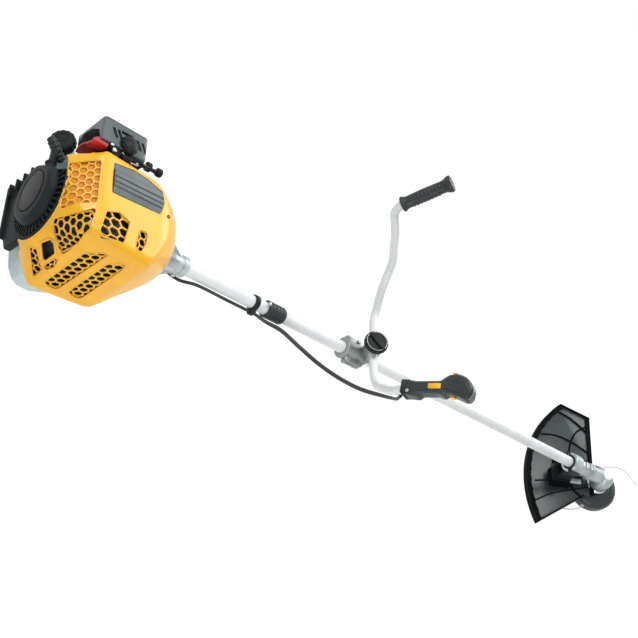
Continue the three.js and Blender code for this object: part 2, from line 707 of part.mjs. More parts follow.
function clutchHousing() {
  const rear = clutchX - 6;
  const neck = clutchNoseX - 25;
  return along("x", turned([
    [drumInner + drumWall + 2, rear], [clutchBodyRadius, rear],
    [clutchBodyRadius, coverFrontX], [clutchBodyRadius - 9, coverFrontX + 12],
    [noseRadius + 2, neck - 8], [noseRadius, neck], [noseRadius, clutchNoseX],
    [socketRadius, clutchNoseX], [socketRadius, tubeStartX - fit],
    [drumStub + fit, tubeStartX - fit], [drumStub + fit, boreX],
    [drumInner + drumWall + 2, boreX]], 32));
}

function clutchDrum() {
  const back = clutchX + clutchWidth + 3;
  return along("x", turned([
    [drumInner, clutchX], [drumInner + drumWall, clutchX], [drumInner + drumWall, back + drumWall],
    [drumStub, back + drumWall], [drumStub, tubeStartX - 8], [driveRadius + fit, tubeStartX - 8],
    [driveRadius + fit, back + 20], [0, back + 20], [0, back], [drumInner, back]], 32));
}

const shaftTube = () =>
  along("x", ring(tubeRadius - tubeWall, tubeRadius, tubeStartX, tubeEndX, 32));

const pinionTipX = outputX - 9.3;
const pinionBackX = outputX - 15.9;
const driveStartX = clutchX + clutchWidth + 3 + 20 + fit;
const driveShaft = () => along("x", rod(driveRadius, driveStartX, pinionBackX - 16, 12));

// ---- things carried by the tube -------------------------------------------------------
const clipX = 386;
const collarX = 441;
const cableRadius = 3.5;
const cableSide = -(tubeRadius + cableRadius + 1);
const cableDrop = -9;

function cableClip() {
  const band = along("x", ring(socketRadius, tubeRadius + 3, clipX - 6, clipX + 6, 24));
  const lug = box(clipX - 6, clipX + 6, cableSide - cableRadius - 3, -(tubeRadius + 1),
    cableDrop - cableRadius - 2.5, cableDrop + cableRadius + 2.5);
  const hole = along("x", rod(cableRadius + fit, clipX - 7, clipX + 7, 12), 0, cableSide, cableDrop);
  const tubeRoom = along("x", rod(socketRadius, clipX - 7, clipX + 7, 24));
  return cut(band.add(lug), [hole, tubeRoom]);
}

function hangerCollar() {
  const profile = [[socketRadius, collarX - 24]];
  for (let i = 0; i < 5; i += 1) {
    const x = collarX - 24 + i * 9.6;
    profile.push([tubeRadius + 5, x], [tubeRadius + 5, x + 6.4], [tubeRadius + 3.6, x + 7.6]);
  }
  profile.push([tubeRadius + 3.6, collarX + 24], [socketRadius, collarX + 24]);
  return along("x", turned(profile, 20));
}

// ---- handlebar ------------------------------------------------------------------------
const handle = new THREE.Group();
handle.position.set(handleX, 0, axisHeight + handleRise);
const gripStart = [-129, 221, 205];
const gripAim = new THREE.Vector3(44, 26, 119).normalize();

// Half of the bar, from the clamp outwards; the other half is its mirror image.
function barHalf() {
  const onGrip = (s) => [gripStart[0] + gripAim.x * s, gripStart[1] + gripAim.y * s,
    gripStart[2] + gripAim.z * s];
  return [[0, 9, 0], [0, 27, 0], [1, 56, 0], [3, 78, 1], [2, 96, 9], [-7, 110, 24],
    [-22, 126, 49], [-36, 147, 81], [-50, 162, 107], [-69, 175, 127], [-87, 188, 147],
    [-105, 201, 166], [-122, 211, 176], onGrip(-16), onGrip(0), onGrip(40), onGrip(barEnd)];
}
const barEnd = 62;

function handlebar() {
  const half = barHalf();
  const mirrored = half.map(([x, y, z]) => [x, -y, z]).reverse();
  return roundTube([...mirrored, ...half], barRadius, barWall, 8, 60);
}

const clampHalf = 24;
function seatGroove() {
  return along("y", rod(barRadius + 2 * fit, -60, 60, 20));
}

function handleBase() {
  const inRow = (body) => moved(body, -handleX, 0, -handleRise);
  const saddle = inRow(along("x", rod(tubeRadius + 8, handleX - 50, handleX + 12, 28)));
  const upper = inRow(box(handleX - 60, handleX + 20, -60, 60, fit, 200));
  const ears = inRow(box(handleX - 46, handleX + 8, -32, 32, fit, 8));
  const neck = hull([
    ...arc(0, 0, 20, 0, 345, 23).map(([x, y]) => [x - 19, y, 12 - handleRise]),
    ...arc(0, 0, 21, 0, 345, 23).map(([x, y]) => [
      x * Math.cos(handleTilt * DEG) + 5.5, y, x * Math.sin(handleTilt * DEG) - 9.5])]);
  const seat = tilted(box(-clampHalf, clampHalf, -22, 22, -13, -fit / 2), handleTilt);
  const tubeRoom = inRow(along("x", rod(socketRadius, handleX - 70, handleX + 70, 28)));
  return cut(union([saddle.intersect(upper), ears, neck, seat]), [tubeRoom, seatGroove()]);
}

function handleBaseLower() {
  const inRow = (body) => moved(body, -handleX, 0, -handleRise);
  const saddle = inRow(along("x", rod(tubeRadius + 8, handleX - 50, handleX + 12, 28)));
  const ears = inRow(box(handleX - 46, handleX + 8, -32, 32, -8, -fit));
  const lower = inRow(box(handleX - 60, handleX + 20, -60, 60, -200, -fit));
  const tubeRoom = inRow(along("x", rod(socketRadius, handleX - 70, handleX + 70, 28)));
  return cut(saddle.intersect(lower).add(ears), [tubeRoom]);
}

const capTop = barRadius + 7;
function handleCap() {
  const block = tilted(box(-clampHalf, clampHalf, -22, 22, fit / 2, capTop - 4), handleTilt);
  const crown = tilted(turned([[0, 0.5], [21, 0.5], [21, capTop], [0, capTop]], 24), handleTilt);
  const threadHole = tilted(rod(4.3, barRadius + 2, capTop + 1, 12), handleTilt);
  return cut(block.add(crown), [seatGroove(), threadHole]);
}

function clampKnob() {
  const disc = turned([[0, capTop + 1], [knobRadius - 2, capTop + 1], [knobRadius, capTop + 4],
    [knobRadius, capTop + 11], [knobRadius - 5, capTop + 15], [0, capTop + 15]], 32);
  const ridge = box(-knobRadius + 3, knobRadius - 3, -4.5, 4.5, capTop + 12, capTop + 19)
    .rotate([0, 0, -50]);
  const stem = rod(4, barRadius + 3, capTop + 2, 12);
  return tilted(union([disc, ridge, stem]), handleTilt);
}

// Frames that carry each grip: local Z runs up the grip, local X points forward.
function gripFrame(side) {
  const frame = new THREE.Group();
  const z = new THREE.Vector3(gripAim.x, side * gripAim.y, gripAim.z);
  const y = new THREE.Vector3(0, 1, 0).addScaledVector(z, -z.y).normalize();
  const x = y.clone().cross(z);
  frame.quaternion.setFromRotationMatrix(new THREE.Matrix4().makeBasis(x, y, z));
  frame.position.set(gripStart[0], side * gripStart[1], gripStart[2]);
  handle.add(frame);
  return frame;
}

function plainGrip() {
  return turned([
    [barRadius + fit, 0], [17, 0], [18.5, 4], [17, 8], [14.5, 14], [15.5, 50], [14.5, 96],
    [17, 106], [19, 110], [19, gripLength], [0, gripLength], [0, barEnd + 3],
    [barRadius + fit, barEnd + 3]], 24);
}

// Side view of the control grip as [inward, up] points, counter-clockwise seen from behind.
const throttleOutline = [
  [-11, -6], [13, -5], [15.5, 6], [12.5, 26], [13.5, 76], [20, 84], [26, 93], [28, 107],
  [23, 122], [13, 134], [-3, 143], [-15, 142], [-24, 136], [-24, 127], [-19, 115],
  [-13.5, 101], [-12.5, 90], [-17, 84], [-12.5, 70], [-12.5, 38], [-19, 31], [-18, 20], [-15, 4]];

const triggerPivot = [15, 82];
const lockInner = -9;
const lockTravel = 4;
function throttleShell(side) {
  const half = 17;
  const faces = side > 0 ? [fit / 2, half] : [-half, -fit / 2];
  const body = plateX(throttleOutline, ...faces);
  const flare = turned([[0, -20], [barRadius + 5, -20], [barRadius, 8], [0, 8]], 20);
  const bore = rod(barRadius + fit, -20, barEnd + 2, 20).add(flare);
  const aboveBar = barEnd + 3;
  const triggerSlot = box(11.5, 30, -5.5, 5.5, 36, 89).add(box(5, 30, -5.5, 5.5, aboveBar, 89));
  const leverSlot = box(-30, -10.6, -6, 5, 48, 84).add(box(-30, -5.5, -6, 5, aboveBar, 84));
  const switchSlot = box(-6, 6, 18, 40, 94, 112);
  const lockSlot = box(-5, 5, -40, lockInner + lockTravel + fit, 97, 107);
  return cut(body, [bore, triggerSlot, leverSlot, switchSlot, lockSlot]);
}

function throttleTrigger() {
  const [px, pz] = triggerPivot;
  return plateY([[px - 3, pz + 3], [px - 3, pz - 6], [px + 6, 49], [px + 7, 38], [px + 11, 38],
    [px + 13, 53], [px + 8, pz + 2]], -5, 5);
}

function safetyLever() {
  return plateY([[-13, 52], [-13, 82], [-19, 80], [-21, 73], [-20, 58], [-17, 52]], -5.5, 4.5);
}

const stopSwitch = () => box(-5.5, 5.5, 19, 33, 96, 104);
const lockButton = () => box(-4.5, 4.5, -19, lockInner, 98, 106);

// ---- throttle cable -------------------------------------------------------------------
function throttleCable() {
  const h = axisHeight;
  return roundTube([
    [clutchX - 32, carbY + 10, h + 90], [62, 72, h + 70], [104, 64, h + 22], [140, 44, h - 24],
    [172, 14, h - 42], [206, -12, h - 28], [240, cableSide, h + cableDrop],
    [320, cableSide, h + cableDrop], [clipX, cableSide, h + cableDrop],
    [clipX + 12, cableSide - 0.4, h + cableDrop], [424, -27, h - 5], [460, -38, h + 6],
    [507, -60, h + 12], [548, -95, h + 34], [576, -130, h + 68], [590, -165, h + 114],
    [595, -196, h + 168], [592, -214, h + 200], [582, -226, h + 221],
    [573, -229, h + 239]], cableRadius, 0, 8, 78);
}

// ---- gear head: drawn about the output axis, local Z up, where it crosses the shaft axis
const head = new THREE.Group();
head.position.set(outputX, 0, axisHeight);
head.rotation.y = -headTilt * DEG;
const shaftRadius = 6;
const pitchPinion = 17.9;
const pitchGear = 22.8;
const pinionTeeth = 15;
const gearTeeth = 19;
const caseBottom = -32;

// Sends a body drawn along the shaft axis (row frame, from the crossing point) into the head frame.
const fromShaft = (body) => tilted(body, -headTilt);

function gearCase() {
  const wall = gearCaseRadius - 4;
  const bulb = turned([[0, caseBottom], [gearCaseRadius - 2, caseBottom],
    [gearCaseRadius, caseBottom + 6], [gearCaseRadius, 4], [gearCaseRadius - 5, 18],
    [17, 26], [0, 26]], 32);
  const neckRear = -(neckLength + neckToAxis);
  const neck = fromShaft(along("x", turned([[0, neckRear], [19, neckRear],
    [19, neckRear + neckLength - 6], [23, neckRear + neckLength - 5],
    [23, neckRear + neckLength + 5], [20, neckRear + neckLength + 6], [22, -24], [18, -8], [0, -8]], 28)));
  const inside = turned([[0, caseBottom - 1], [wall, caseBottom - 1], [wall, 6], [14.3, 8],
    [14.3, 40], [0, 40]], 28);
  const pinionRoom = fromShaft(along("x", rod(pitchPinion + 1, -38, -4, 24)));
  const driveRoom = fromShaft(along("x", rod(11, neckRear, -20, 20)));
  const socket = fromShaft(along("x", rod(socketRadius, neckRear - 1, tubeEndX - outputX + 1, 28)));
  return cut(bulb.add(neck), [inside, pinionRoom, driveRoom, socket]);
}

function gearCap() {
  return turned([[0, 25.8], [14, 25.8], [14, 31], [12, 33.5], [0, 33.5]], 28);
}

function teethed(profile, teeth, depth, z0, z1, reach) {
  const blank = turned(profile, 32);
  const gaps = Array.from({ length: teeth }, (_, i) =>
    box(reach - depth, reach + 4, -1.1, 1.1, z0, z1).rotate([0, 0, (i * 360) / teeth]));
  return cut(blank, gaps);
}

function pinion() {
  const back = pinionBackX - outputX;
  const tip = pinionTipX - outputX;
  const blank = teethed([[driveRadius, back - 16], [9, back - 16], [9, back - 8],
    [pitchPinion - 0.8, back - 6], [pitchPinion - 0.8, back], [9.6, tip],
    [driveRadius, tip]], pinionTeeth, 4, back - 7, tip + 1, pitchPinion);
  return along("x", cut(blank, [rod(driveRadius + fit, back - 17, tip + 1, 12)]),
    outputX, 0, axisHeight);
}

function outputGear() {
  const gear = teethed([[0, -17], [pitchGear - 1, -17], [pitchGear - 1, -8.4], [12.6, -5],
    [0, -5]], gearTeeth, 4, -18, 0, pitchGear);
  const holder = turned([[0, -41], [30, -41], [30, -37], [26, -33], [0, -33]], 28);
  return union([gear, rod(shaftRadius, -72, -16, 20), holder]);
}

const headTop = -headTopDrop;
const headBottom = headTop - headDepth;

function headHousing() {
  const w = 3;
  const shell = turned([[shaftRadius + fit, headTop - w], [headRadius - 14, headTop - w],
    [headRadius - w, headTop - 12], [headRadius - w, headBottom], [headRadius, headBottom],
    [headRadius, headTop - 10], [headRadius - 12, headTop], [24, headTop], [24, headTop + 2.7],
    [shaftRadius + fit, headTop + 2.7]], 36);
  const eyelets = [0, 180].map((turn) =>
    along("x", rod(3.4, headRadius - 8, headRadius + 4, 12), 0, 0, headTop - 24)
      .rotate([0, 0, turn + lineTurn]));
  return cut(shell, eyelets);
}

function lineSpool() {
  const r = spoolFlangeRadius;
  const hub = bumpRadius + 2;
  return turned([[shaftRadius + fit, headTop - 12], [hub, headTop - 12], [hub, headBottom + 3],
    [r, headBottom + 3], [r, headBottom + 6], [hub + 4, headBottom + 7],
    [hub + 4, headTop - 12], [r, headTop - 11], [r, headTop - 8],
    [shaftRadius + fit, headTop - 8]], 32);
}

function bumpKnob() {
  const top = headBottom + 1;
  return turned([[0, headBottom - 20], [bumpRadius - 10, headBottom - 20],
    [bumpRadius - 2, headBottom - 15], [bumpRadius, headBottom - 4], [bumpRadius, top],
    [0, top]], 28);
}

function trimmerLine(side) {
  const z = headTop - 24;
  const start = headRadius - 7;
  const body = roundTube([[start, 0, z], [72, 0, z], [87, -9, z - 1], [101, -24, z - 2],
    [112, -43, z - 3], [115, -62, z - 4], [111, -81, z - 4], [103, -101, z - 4],
    [97, -113, z - 4]], lineRadius, 0, 6, 24);
  return body.rotate([0, 0, side > 0 ? lineTurn : lineTurn + 180]);
}

// ---- guard ----------------------------------------------------------------------------
const guardBottom = -guardDrop;
const guardTop = guardBottom + guardPlate;
const guardFrom = 127;
const guardTo = 203;
const sine = Math.sin(headTilt * DEG);
const cosine = Math.cos(headTilt * DEG);
const rearReach = guardArcRadius - guardArcForward;
const floorGap = 0.4;
const skirtBottom = -(axisHeight - rearReach * sine - floorGap) / cosine;

function guardRim(inset, ends = 0) {
  return arc(guardArcForward, guardArcSide, guardArcRadius - inset, guardFrom + ends,
    guardTo - ends, 20);
}

// Outline seen from above: the rear arc, then the right, front and left corners of the nose.
const guardCorners = [[-46, -44], [-14, -40], [-4, 200]];
const guardShape = () => [...guardRim(0), ...guardCorners];

// A straight bar on the left of the line from one point to the other.
function bar([x0, y0], [x1, y1], width, z0, z1) {
  const turn = Math.atan2(y1 - y0, x1 - x0) / DEG;
  return box(0, Math.hypot(x1 - x0, y1 - y0), 0, width, z0, z1)
    .rotate([0, 0, turn]).translate([x0, y0, 0]);
}

// The line that the strip under the right edge follows, just inside the outline.
const rightEdge = () => [guardRim(2, 1).at(-1), [guardCorners[0][0] - 4, guardCorners[0][1] + 1]];

function guard() {
  const rimWidth = 4;
  const rimTop = guardTop + 7;
  const deck = plate(guardShape(), guardBottom, guardTop);
  const inner = [...guardRim(rimWidth, 1),
    ...guardCorners.map(([x, y]) => [x - rimWidth, y - rimWidth * Math.sign(y)])];
  const border = cut(plate(guardShape(), guardTop - 1, rimTop),
    [plate(inner, guardTop - 2, rimTop + 1)]);
  const skirt = plate([...guardRim(0.6, 0.4), ...guardRim(rimWidth + 0.6, 0.4).reverse()],
    skirtBottom, guardTop - 1);
  const strip = bar(...rightEdge(), 3, guardBottom - 14, guardTop - 1);
  const ribs = [137, 152, 168, 186].map((angle) => {
    const [root, tip] = [150, guardArcRadius - 2].map((reach) => [
      guardArcForward + reach * Math.cos(angle * DEG),
      guardArcSide + reach * Math.sin(angle * DEG)]);
    return bar(root, tip, 3, guardTop - 1.5, guardTop + 3);
  });
  const pedestal = box(pedestalRear, pedestalFront, -28, 28, guardTop - 1.2, pedestalTop);
  const pedestalRoom = box(pedestalRear + 3, pedestalFront - 3, -25, 25, guardBottom - 1,
    pedestalTop - 3);
  const shaftRoom = rod(34, -60, 60, 32);
  const headRoom = rod(headRadius + 3, -90, guardBottom - 0.5, 32);
  return cut(union([deck, border, skirt, strip, pedestal, ...ribs]),
    [pedestalRoom, shaftRoom, headRoom]);
}

const pedestalRear = -172;
const pedestalFront = -88;
const pedestalTop = 5;
const bracketX = outputX - 147;
const bracketHalf = 18;
const bracketRadius = tubeRadius + 6;

const inHead = (body) => fromShaft(moved(body, -outputX, 0, 0));

function guardBracket() {
  const footZ = pedestalTop + fit;
  const foot = box(pedestalRear + 14, pedestalFront - 2, -24, 24, footZ, footZ + 3);
  const legs = [-1, 1].map((side) =>
    box(-148, -106, side * 19 - 1.5, side * 19 + 1.5, footZ + 1, 66));
  const saddle = inHead(along("x", rod(bracketRadius, bracketX - bracketHalf,
    bracketX + bracketHalf, 24)));
  const ears = inHead(box(bracketX - bracketHalf, bracketX + bracketHalf, -31, 31, -6, 6));
  const slit = inHead(box(bracketX - 60, bracketX + 60, tubeRadius, 60, -1, 1));
  const above = inHead(box(bracketX - 60, bracketX + 60, -60, 60, 0, 100));
  const tubeRoom = inHead(along("x", rod(socketRadius, bracketX - 90, bracketX + 90, 28)));
  const caseRoom = inHead(along("x", rod(20, outputX - neckLength - neckToAxis - 2,
    outputX, 28)));
  const lowLegs = cut(union(legs), [above]);
  return cut(union([saddle, lowLegs, ears, foot]), [tubeRoom, slit, caseRoom]);
}

// A blade on the inner face of the strip under the right edge.
function lineCutter() {
  const [right, corner] = rightEdge();
  const blade = bar(right, corner, 3 + fit + 1.5, guardBottom - 16, guardBottom - 4);
  const stripRoom = bar(right, corner, 3 + fit, -90, 0);
  const from = 12;
  const ends = [box(-400, right[0] + from, -400, 400, -90, 0),
    box(right[0] + from + 34, 400, -400, 400, -90, 0)];
  return cut(blade, [stripRoom, ...ends]);
}

// ---- every piece, in its group ---------------------------------------------------------
const trimmer = new THREE.Group();
trimmer.add(engine, handle, head);
mesh(engine, "crankcase", crankcase(), paint.castAluminium);
mesh(engine, "crank_rear", crankHalf(-1, rearStub), paint.steel);
mesh(engine, "crank_front", crankHalf(1, clutchX + clutchWidth - crankCenterX), paint.steel);
mesh(engine, "connecting_rod", connectingRod(), paint.steel);
mesh(engine, "piston", piston(), paint.castAluminium);
mesh(engine, "cylinder", cylinder(), paint.castAluminium);
mesh(engine, "spark_plug", sparkPlug(), paint.steel);
mesh(engine, "muffler", muffler(), paint.steel);
mesh(engine, "flywheel_fan", flywheel(), paint.castAluminium);
mesh(engine, "clutch_shoes", clutchShoes(), paint.steel);
mesh(engine, "recoil_housing", recoilHousing(), paint.grey);
mesh(engine, "starter_badge", starterBadge(), paint.black);
mesh(engine, "starter_pulley", starterPulley(), paint.black);
mesh(engine, "starter_rope", starterRope(), paint.black);
mesh(engine, "starter_handle", starterHandle(), paint.rubber);
mesh(engine, "carburettor", carburettor(), paint.castAluminium);
mesh(engine, "throttle_arm", throttleArm(), paint.steel);
mesh(engine, "cable_bracket", cableBracket(), paint.black);
mesh(engine, "air_filter_base", airFilterBase(), paint.black);
mesh(engine, "air_filter_element", airFilterElement(), paint.foam);
mesh(engine, "air_filter_cover", airFilterCover(), paint.grey);
mesh(engine, "filter_knob", filterKnob(), paint.black);
mesh(engine, "choke_lever", chokeLever(), paint.red);
mesh(engine, "primer_bulb", primerBulb(), paint.rubber);
mesh(engine, "fuel_tank", fuelTank(), paint.milky);
mesh(engine, "fuel_cap", fuelCap(), paint.grey);
mesh(engine, "engine_foot", engineFoot(), paint.black);
mesh(engine, "engine_cover", engineCover(), paint.yellow);
mesh(engine, "cover_panel", coverPanel(), paint.grey);
mesh(engine, "clutch_housing", clutchHousing(), paint.castAluminium);
mesh(engine, "clutch_drum", clutchDrum(), paint.steel);
mesh(engine, "shaft_tube", shaftTube(), paint.tube);
mesh(engine, "drive_shaft", driveShaft(), paint.steel);
mesh(engine, "cable_clip", cableClip(), paint.black);
mesh(engine, "hanger_collar", hangerCollar(), paint.rubber);
mesh(trimmer, "throttle_cable", throttleCable(), paint.rubber);

mesh(handle, "handle_base", handleBase(), paint.castAluminium);
mesh(handle, "handle_base_lower", handleBaseLower(), paint.castAluminium);
mesh(handle, "handle_cap", handleCap(), paint.castAluminium);
mesh(handle, "clamp_knob", clampKnob(), paint.black);
mesh(handle, "handlebar", handlebar(), paint.tube);
mesh(gripFrame(1), "left_grip", plainGrip(), paint.rubber);
const control = gripFrame(-1);
mesh(control, "throttle_shell_front", throttleShell(1), paint.black);
mesh(control, "throttle_shell_rear", throttleShell(-1), paint.grey);
mesh(control, "throttle_trigger", throttleTrigger(), paint.black);
mesh(control, "safety_lever", safetyLever(), paint.yellow);
mesh(control, "stop_switch", stopSwitch(), paint.yellow);
mesh(control, "lock_button", lockButton(), paint.yellow);

mesh(head, "gear_case", gearCase(), paint.castAluminium);
mesh(head, "gear_cap", gearCap(), paint.tube);
mesh(trimmer, "pinion", pinion(), paint.steel);
mesh(head, "output_gear", outputGear(), paint.steel);
mesh(head, "head_housing", headHousing(), paint.black);
mesh(head, "line_spool", lineSpool(), paint.grey);
mesh(head, "bump_knob", bumpKnob(), paint.black);
mesh(head, "trimmer_line_a", trimmerLine(1), paint.line);
mesh(head, "trimmer_line_b", trimmerLine(-1), paint.line);
mesh(head, "guard", guard(), paint.black);
mesh(head, "guard_bracket", guardBracket(), paint.steel);
mesh(head, "line_cutter", lineCutter(), paint.steel);

export default trimmer;
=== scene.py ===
"""Looks of a petrol string trimmer with a bar handle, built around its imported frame."""
import logging
import math
from dataclasses import dataclass
from enum import Enum
from typing import Optional, Sequence

import bmesh
import bpy
import numpy as np
from mathutils import Matrix


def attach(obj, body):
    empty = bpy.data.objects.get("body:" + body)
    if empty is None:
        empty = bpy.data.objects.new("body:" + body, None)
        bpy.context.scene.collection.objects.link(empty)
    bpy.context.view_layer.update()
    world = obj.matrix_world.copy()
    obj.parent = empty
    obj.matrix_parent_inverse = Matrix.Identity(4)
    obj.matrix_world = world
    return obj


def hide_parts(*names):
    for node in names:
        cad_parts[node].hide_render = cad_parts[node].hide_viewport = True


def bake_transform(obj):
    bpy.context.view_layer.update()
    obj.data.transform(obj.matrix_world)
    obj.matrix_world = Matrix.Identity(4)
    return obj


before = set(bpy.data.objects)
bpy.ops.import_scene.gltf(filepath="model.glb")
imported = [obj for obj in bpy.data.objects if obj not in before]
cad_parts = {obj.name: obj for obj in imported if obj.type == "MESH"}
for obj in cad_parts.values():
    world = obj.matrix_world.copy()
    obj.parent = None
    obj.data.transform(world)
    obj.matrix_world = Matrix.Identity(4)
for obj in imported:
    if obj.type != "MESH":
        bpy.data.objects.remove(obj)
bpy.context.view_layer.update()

LOG = logging.getLogger("trimmer")
MM = 0.001  # metres in a millimetre; sizes below are in millimetres
AXIS_HEIGHT = 156.0  # the crank axis and the shaft above the floor
WELD = 2e-6  # points nearer than this many metres become one
Colour = tuple[float, float, float]
Vector = tuple[float, float, float]


class Axis(Enum):
    """Main directions of a frame."""

    X = "x"
    Y = "y"
    Z = "z"


class Body(Enum):
    """The moving bodies that pieces ride on."""

    FRAME = "frame"
    STARTER = "starter_grip"
    TANK_CAP = "tank_cap"
    FILTER_SCREW = "filter_screw"
    CHOKE = "choke"
    BAR = "bar"
    BAR_KNOB = "bar_knob"
    HEAD = "cutting_head"
    BUMP = "bump"


@dataclass(frozen=True)
class Graph:
    """A node tree that is being wired."""

    tree: bpy.types.NodeTree

    def add(self, kind: str, values: Optional[dict[str, object]] = None) -> bpy.types.Node:
        """Adds a node.

        Args:
            kind: its type.
            values: numbers and colours for its own inputs.

        Returns:
            The node.
        """
        node = self.tree.nodes.new(kind)
        for name, value in (values or {}).items():
            node.inputs[name].default_value = value
        return node

    def join(self, start: bpy.types.NodeSocket, end: bpy.types.NodeSocket) -> None:
        """Joins an output to an input."""
        self.tree.links.new(start, end)

    def combine(self, operation: str, first: bpy.types.NodeSocket,
                second: bpy.types.NodeSocket) -> bpy.types.NodeSocket:
        """Works a number out of two others.

        Args:
            operation: what is done with them.
            first: the first number.
            second: the second number.

        Returns:
            The result's socket.
        """
        node = self.add("ShaderNodeMath")
        node.operation = operation
        self.join(first, node.inputs[0])
        self.join(second, node.inputs[1])
        return node.outputs["Value"]

    @staticmethod
    def cleared(owner: bpy.types.ID) -> "Graph":
        """Switches on the nodes of a material or a world and empties its tree.

        Args:
            owner: the material or the world.

        Returns:
            Its empty graph.
        """
        owner.use_nodes = True
        owner.node_tree.nodes.clear()
        return Graph(owner.node_tree)


# ---------------------------------------------------------------------------- finishes


EDGE_SAMPLES = 4
EDGE_COSINES = (0.99, 0.86)  # between the eased and the true normal, from an unworn edge to a worn one that also carries painted highlight
TONE_STOPS = (0.34, 0.66)  # where the drift reaches its darker and its lighter tone
WORN_HIGHLIT_GAIN, WORN_HIGHLIT_LIFT = 1.35, 0.05  # a worn edge against the tone of its piece; on the yellow cover the lighter edge is painted highlight
GRAIN_DEPTH = 0.0004


@dataclass(frozen=True)
class Finish:
    """A procedural finish: two tones that drift together, fine grain, and eased edges lightened by
    wear and by painted highlight.

    The drift and the grain are in cycles a metre, the edge is an easing radius in metres, and the
    slot would name the colour choice that pieces with this finish share, but it is not used.
    """

    name: str
    tone: Colour
    shade: Colour
    rough: tuple[float, float] = (0.38, 0.55)
    metal: float = 0.0
    drift: float = 22.0
    grain: float = 1400.0
    relief: float = 0.12
    edge: float = 0.0009
    # share and colour of the lighter edges: wear, and on the yellow cover painted highlight
    wear_and_highlight: float = 0.35
    coat: float = 0.0
    clear: float = 0.0
    worn_highlit_edge: Colour = ()
    shine: float = 0.5
    slot: str = ""

    def material(self) -> bpy.types.Material:
        """Builds the material once and returns it.

        Returns:
            The material, shared by every piece with this finish.
        """
        name = f"look_{self.name}"
        if name in bpy.data.materials:
            return bpy.data.materials[name]
        made = bpy.data.materials.new(name)
        graph = Graph.cleared(made)
        output = graph.add("ShaderNodeOutputMaterial")
        shader = graph.add("ShaderNodeBsdfPrincipled", {
            "Metallic": self.metal, "Specular IOR Level": self.shine, "Coat Weight": self.coat,
            "Transmission Weight": self.clear})
        graph.join(shader.outputs["BSDF"], output.inputs["Surface"])
        place = graph.add("ShaderNodeTexCoord").outputs["Object"]
        drift = self._noise(graph, place, self.drift, 4.0)
        grain = self._noise(graph, place, self.grain, 2.0)
        eased = graph.add("ShaderNodeBevel", {"Radius": self.edge})
        eased.samples = EDGE_SAMPLES
        # the lighter edge colour: wear, and where a finish gives its own pale colour, painted
        # highlight
        light = self.worn_highlit_edge or tuple(min(1.0, WORN_HIGHLIT_GAIN * c + WORN_HIGHLIT_LIFT) for c in self.tone)
        mixed = graph.add("ShaderNodeMix")
        mixed.data_type = "RGBA"
        mixed.inputs["B"].default_value = (*light, 1.0)
        graph.join(self._worn_and_highlit(graph, eased.outputs["Normal"], grain), mixed.inputs["Factor"])
        graph.join(self._tones(graph, drift), mixed.inputs["A"])
        graph.join(mixed.outputs["Result"], shader.inputs["Base Color"])
        sheen = graph.add("ShaderNodeMapRange", {"To Min": self.rough[0], "To Max": self.rough[1]})
        graph.join(drift, sheen.inputs["Value"])
        graph.join(sheen.outputs["Result"], shader.inputs["Roughness"])
        bump = graph.add("ShaderNodeBump", {"Strength": self.relief, "Distance": GRAIN_DEPTH})
        graph.join(grain, bump.inputs["Height"])
        graph.join(eased.outputs["Normal"], bump.inputs["Normal"])
        graph.join(bump.outputs["Normal"], shader.inputs["Normal"])
        return made

    @staticmethod
    def _noise(graph: Graph, place: bpy.types.NodeSocket, scale: float,
               detail: float) -> bpy.types.NodeSocket:
        """Adds a noise.

        Args:
            graph: the material's graph.
            place: the socket with the place on the piece.
            scale: cycles a metre.
            detail: how many finer layers it has.

        Returns:
            The noise's socket.
        """
        noise = graph.add("ShaderNodeTexNoise", {"Scale": scale, "Detail": detail})
        graph.join(place, noise.inputs["Vector"])
        return noise.outputs["Fac"]

    def _tones(self, graph: Graph, drift: bpy.types.NodeSocket) -> bpy.types.NodeSocket:
        """Adds a ramp from the darker tone to the lighter one.

        Args:
            graph: the material's graph.
            drift: the slow noise that the tones follow.

        Returns:
            The colour's socket.
        """
        ramp = graph.add("ShaderNodeValToRGB")
        for stop, at, tone in zip(ramp.color_ramp.elements, TONE_STOPS, (self.shade, self.tone)):
            stop.position = at
            stop.color = (*tone, 1.0)
        graph.join(drift, ramp.inputs["Fac"])
        return ramp.outputs["Color"]

    def _worn_and_highlit(self, graph: Graph, eased: bpy.types.NodeSocket,
              grain: bpy.types.NodeSocket) -> bpy.types.NodeSocket:
        """Adds a mask of worn edges, which also carry painted highlight: where the eased normal
        leaves the true one.

        Args:
            graph: the material's graph.
            eased: the normal with its edges eased.
            grain: the fine noise that breaks the mask up.

        Returns:
            The mask's socket.
        """
        flat = graph.add("ShaderNodeNewGeometry")
        along = graph.add("ShaderNodeVectorMath")
        along.operation = "DOT_PRODUCT"
        graph.join(eased, along.inputs[0])
        graph.join(flat.outputs["Normal"], along.inputs[1])
        near = graph.add("ShaderNodeMapRange", {
            "From Min": EDGE_COSINES[0], "From Max": EDGE_COSINES[1], "To Max": self.wear_and_highlight})
        graph.join(along.outputs["Value"], near.inputs["Value"])
        return graph.combine("MULTIPLY", near.outputs["Result"], grain)


# the yellow cover's pale edge colour and full edge share are painted highlight along its ridges and
# lips
YELLOW = Finish("yellow_cover", (0.91, 0.470, 0.010), (0.85, 0.420, 0.008), (0.24, 0.34),
                edge=0.0022, wear_and_highlight=1.0, coat=0.1, worn_highlit_edge=(1.0, 0.78, 0.32), shine=0.35,
                slot="yellow_cover")
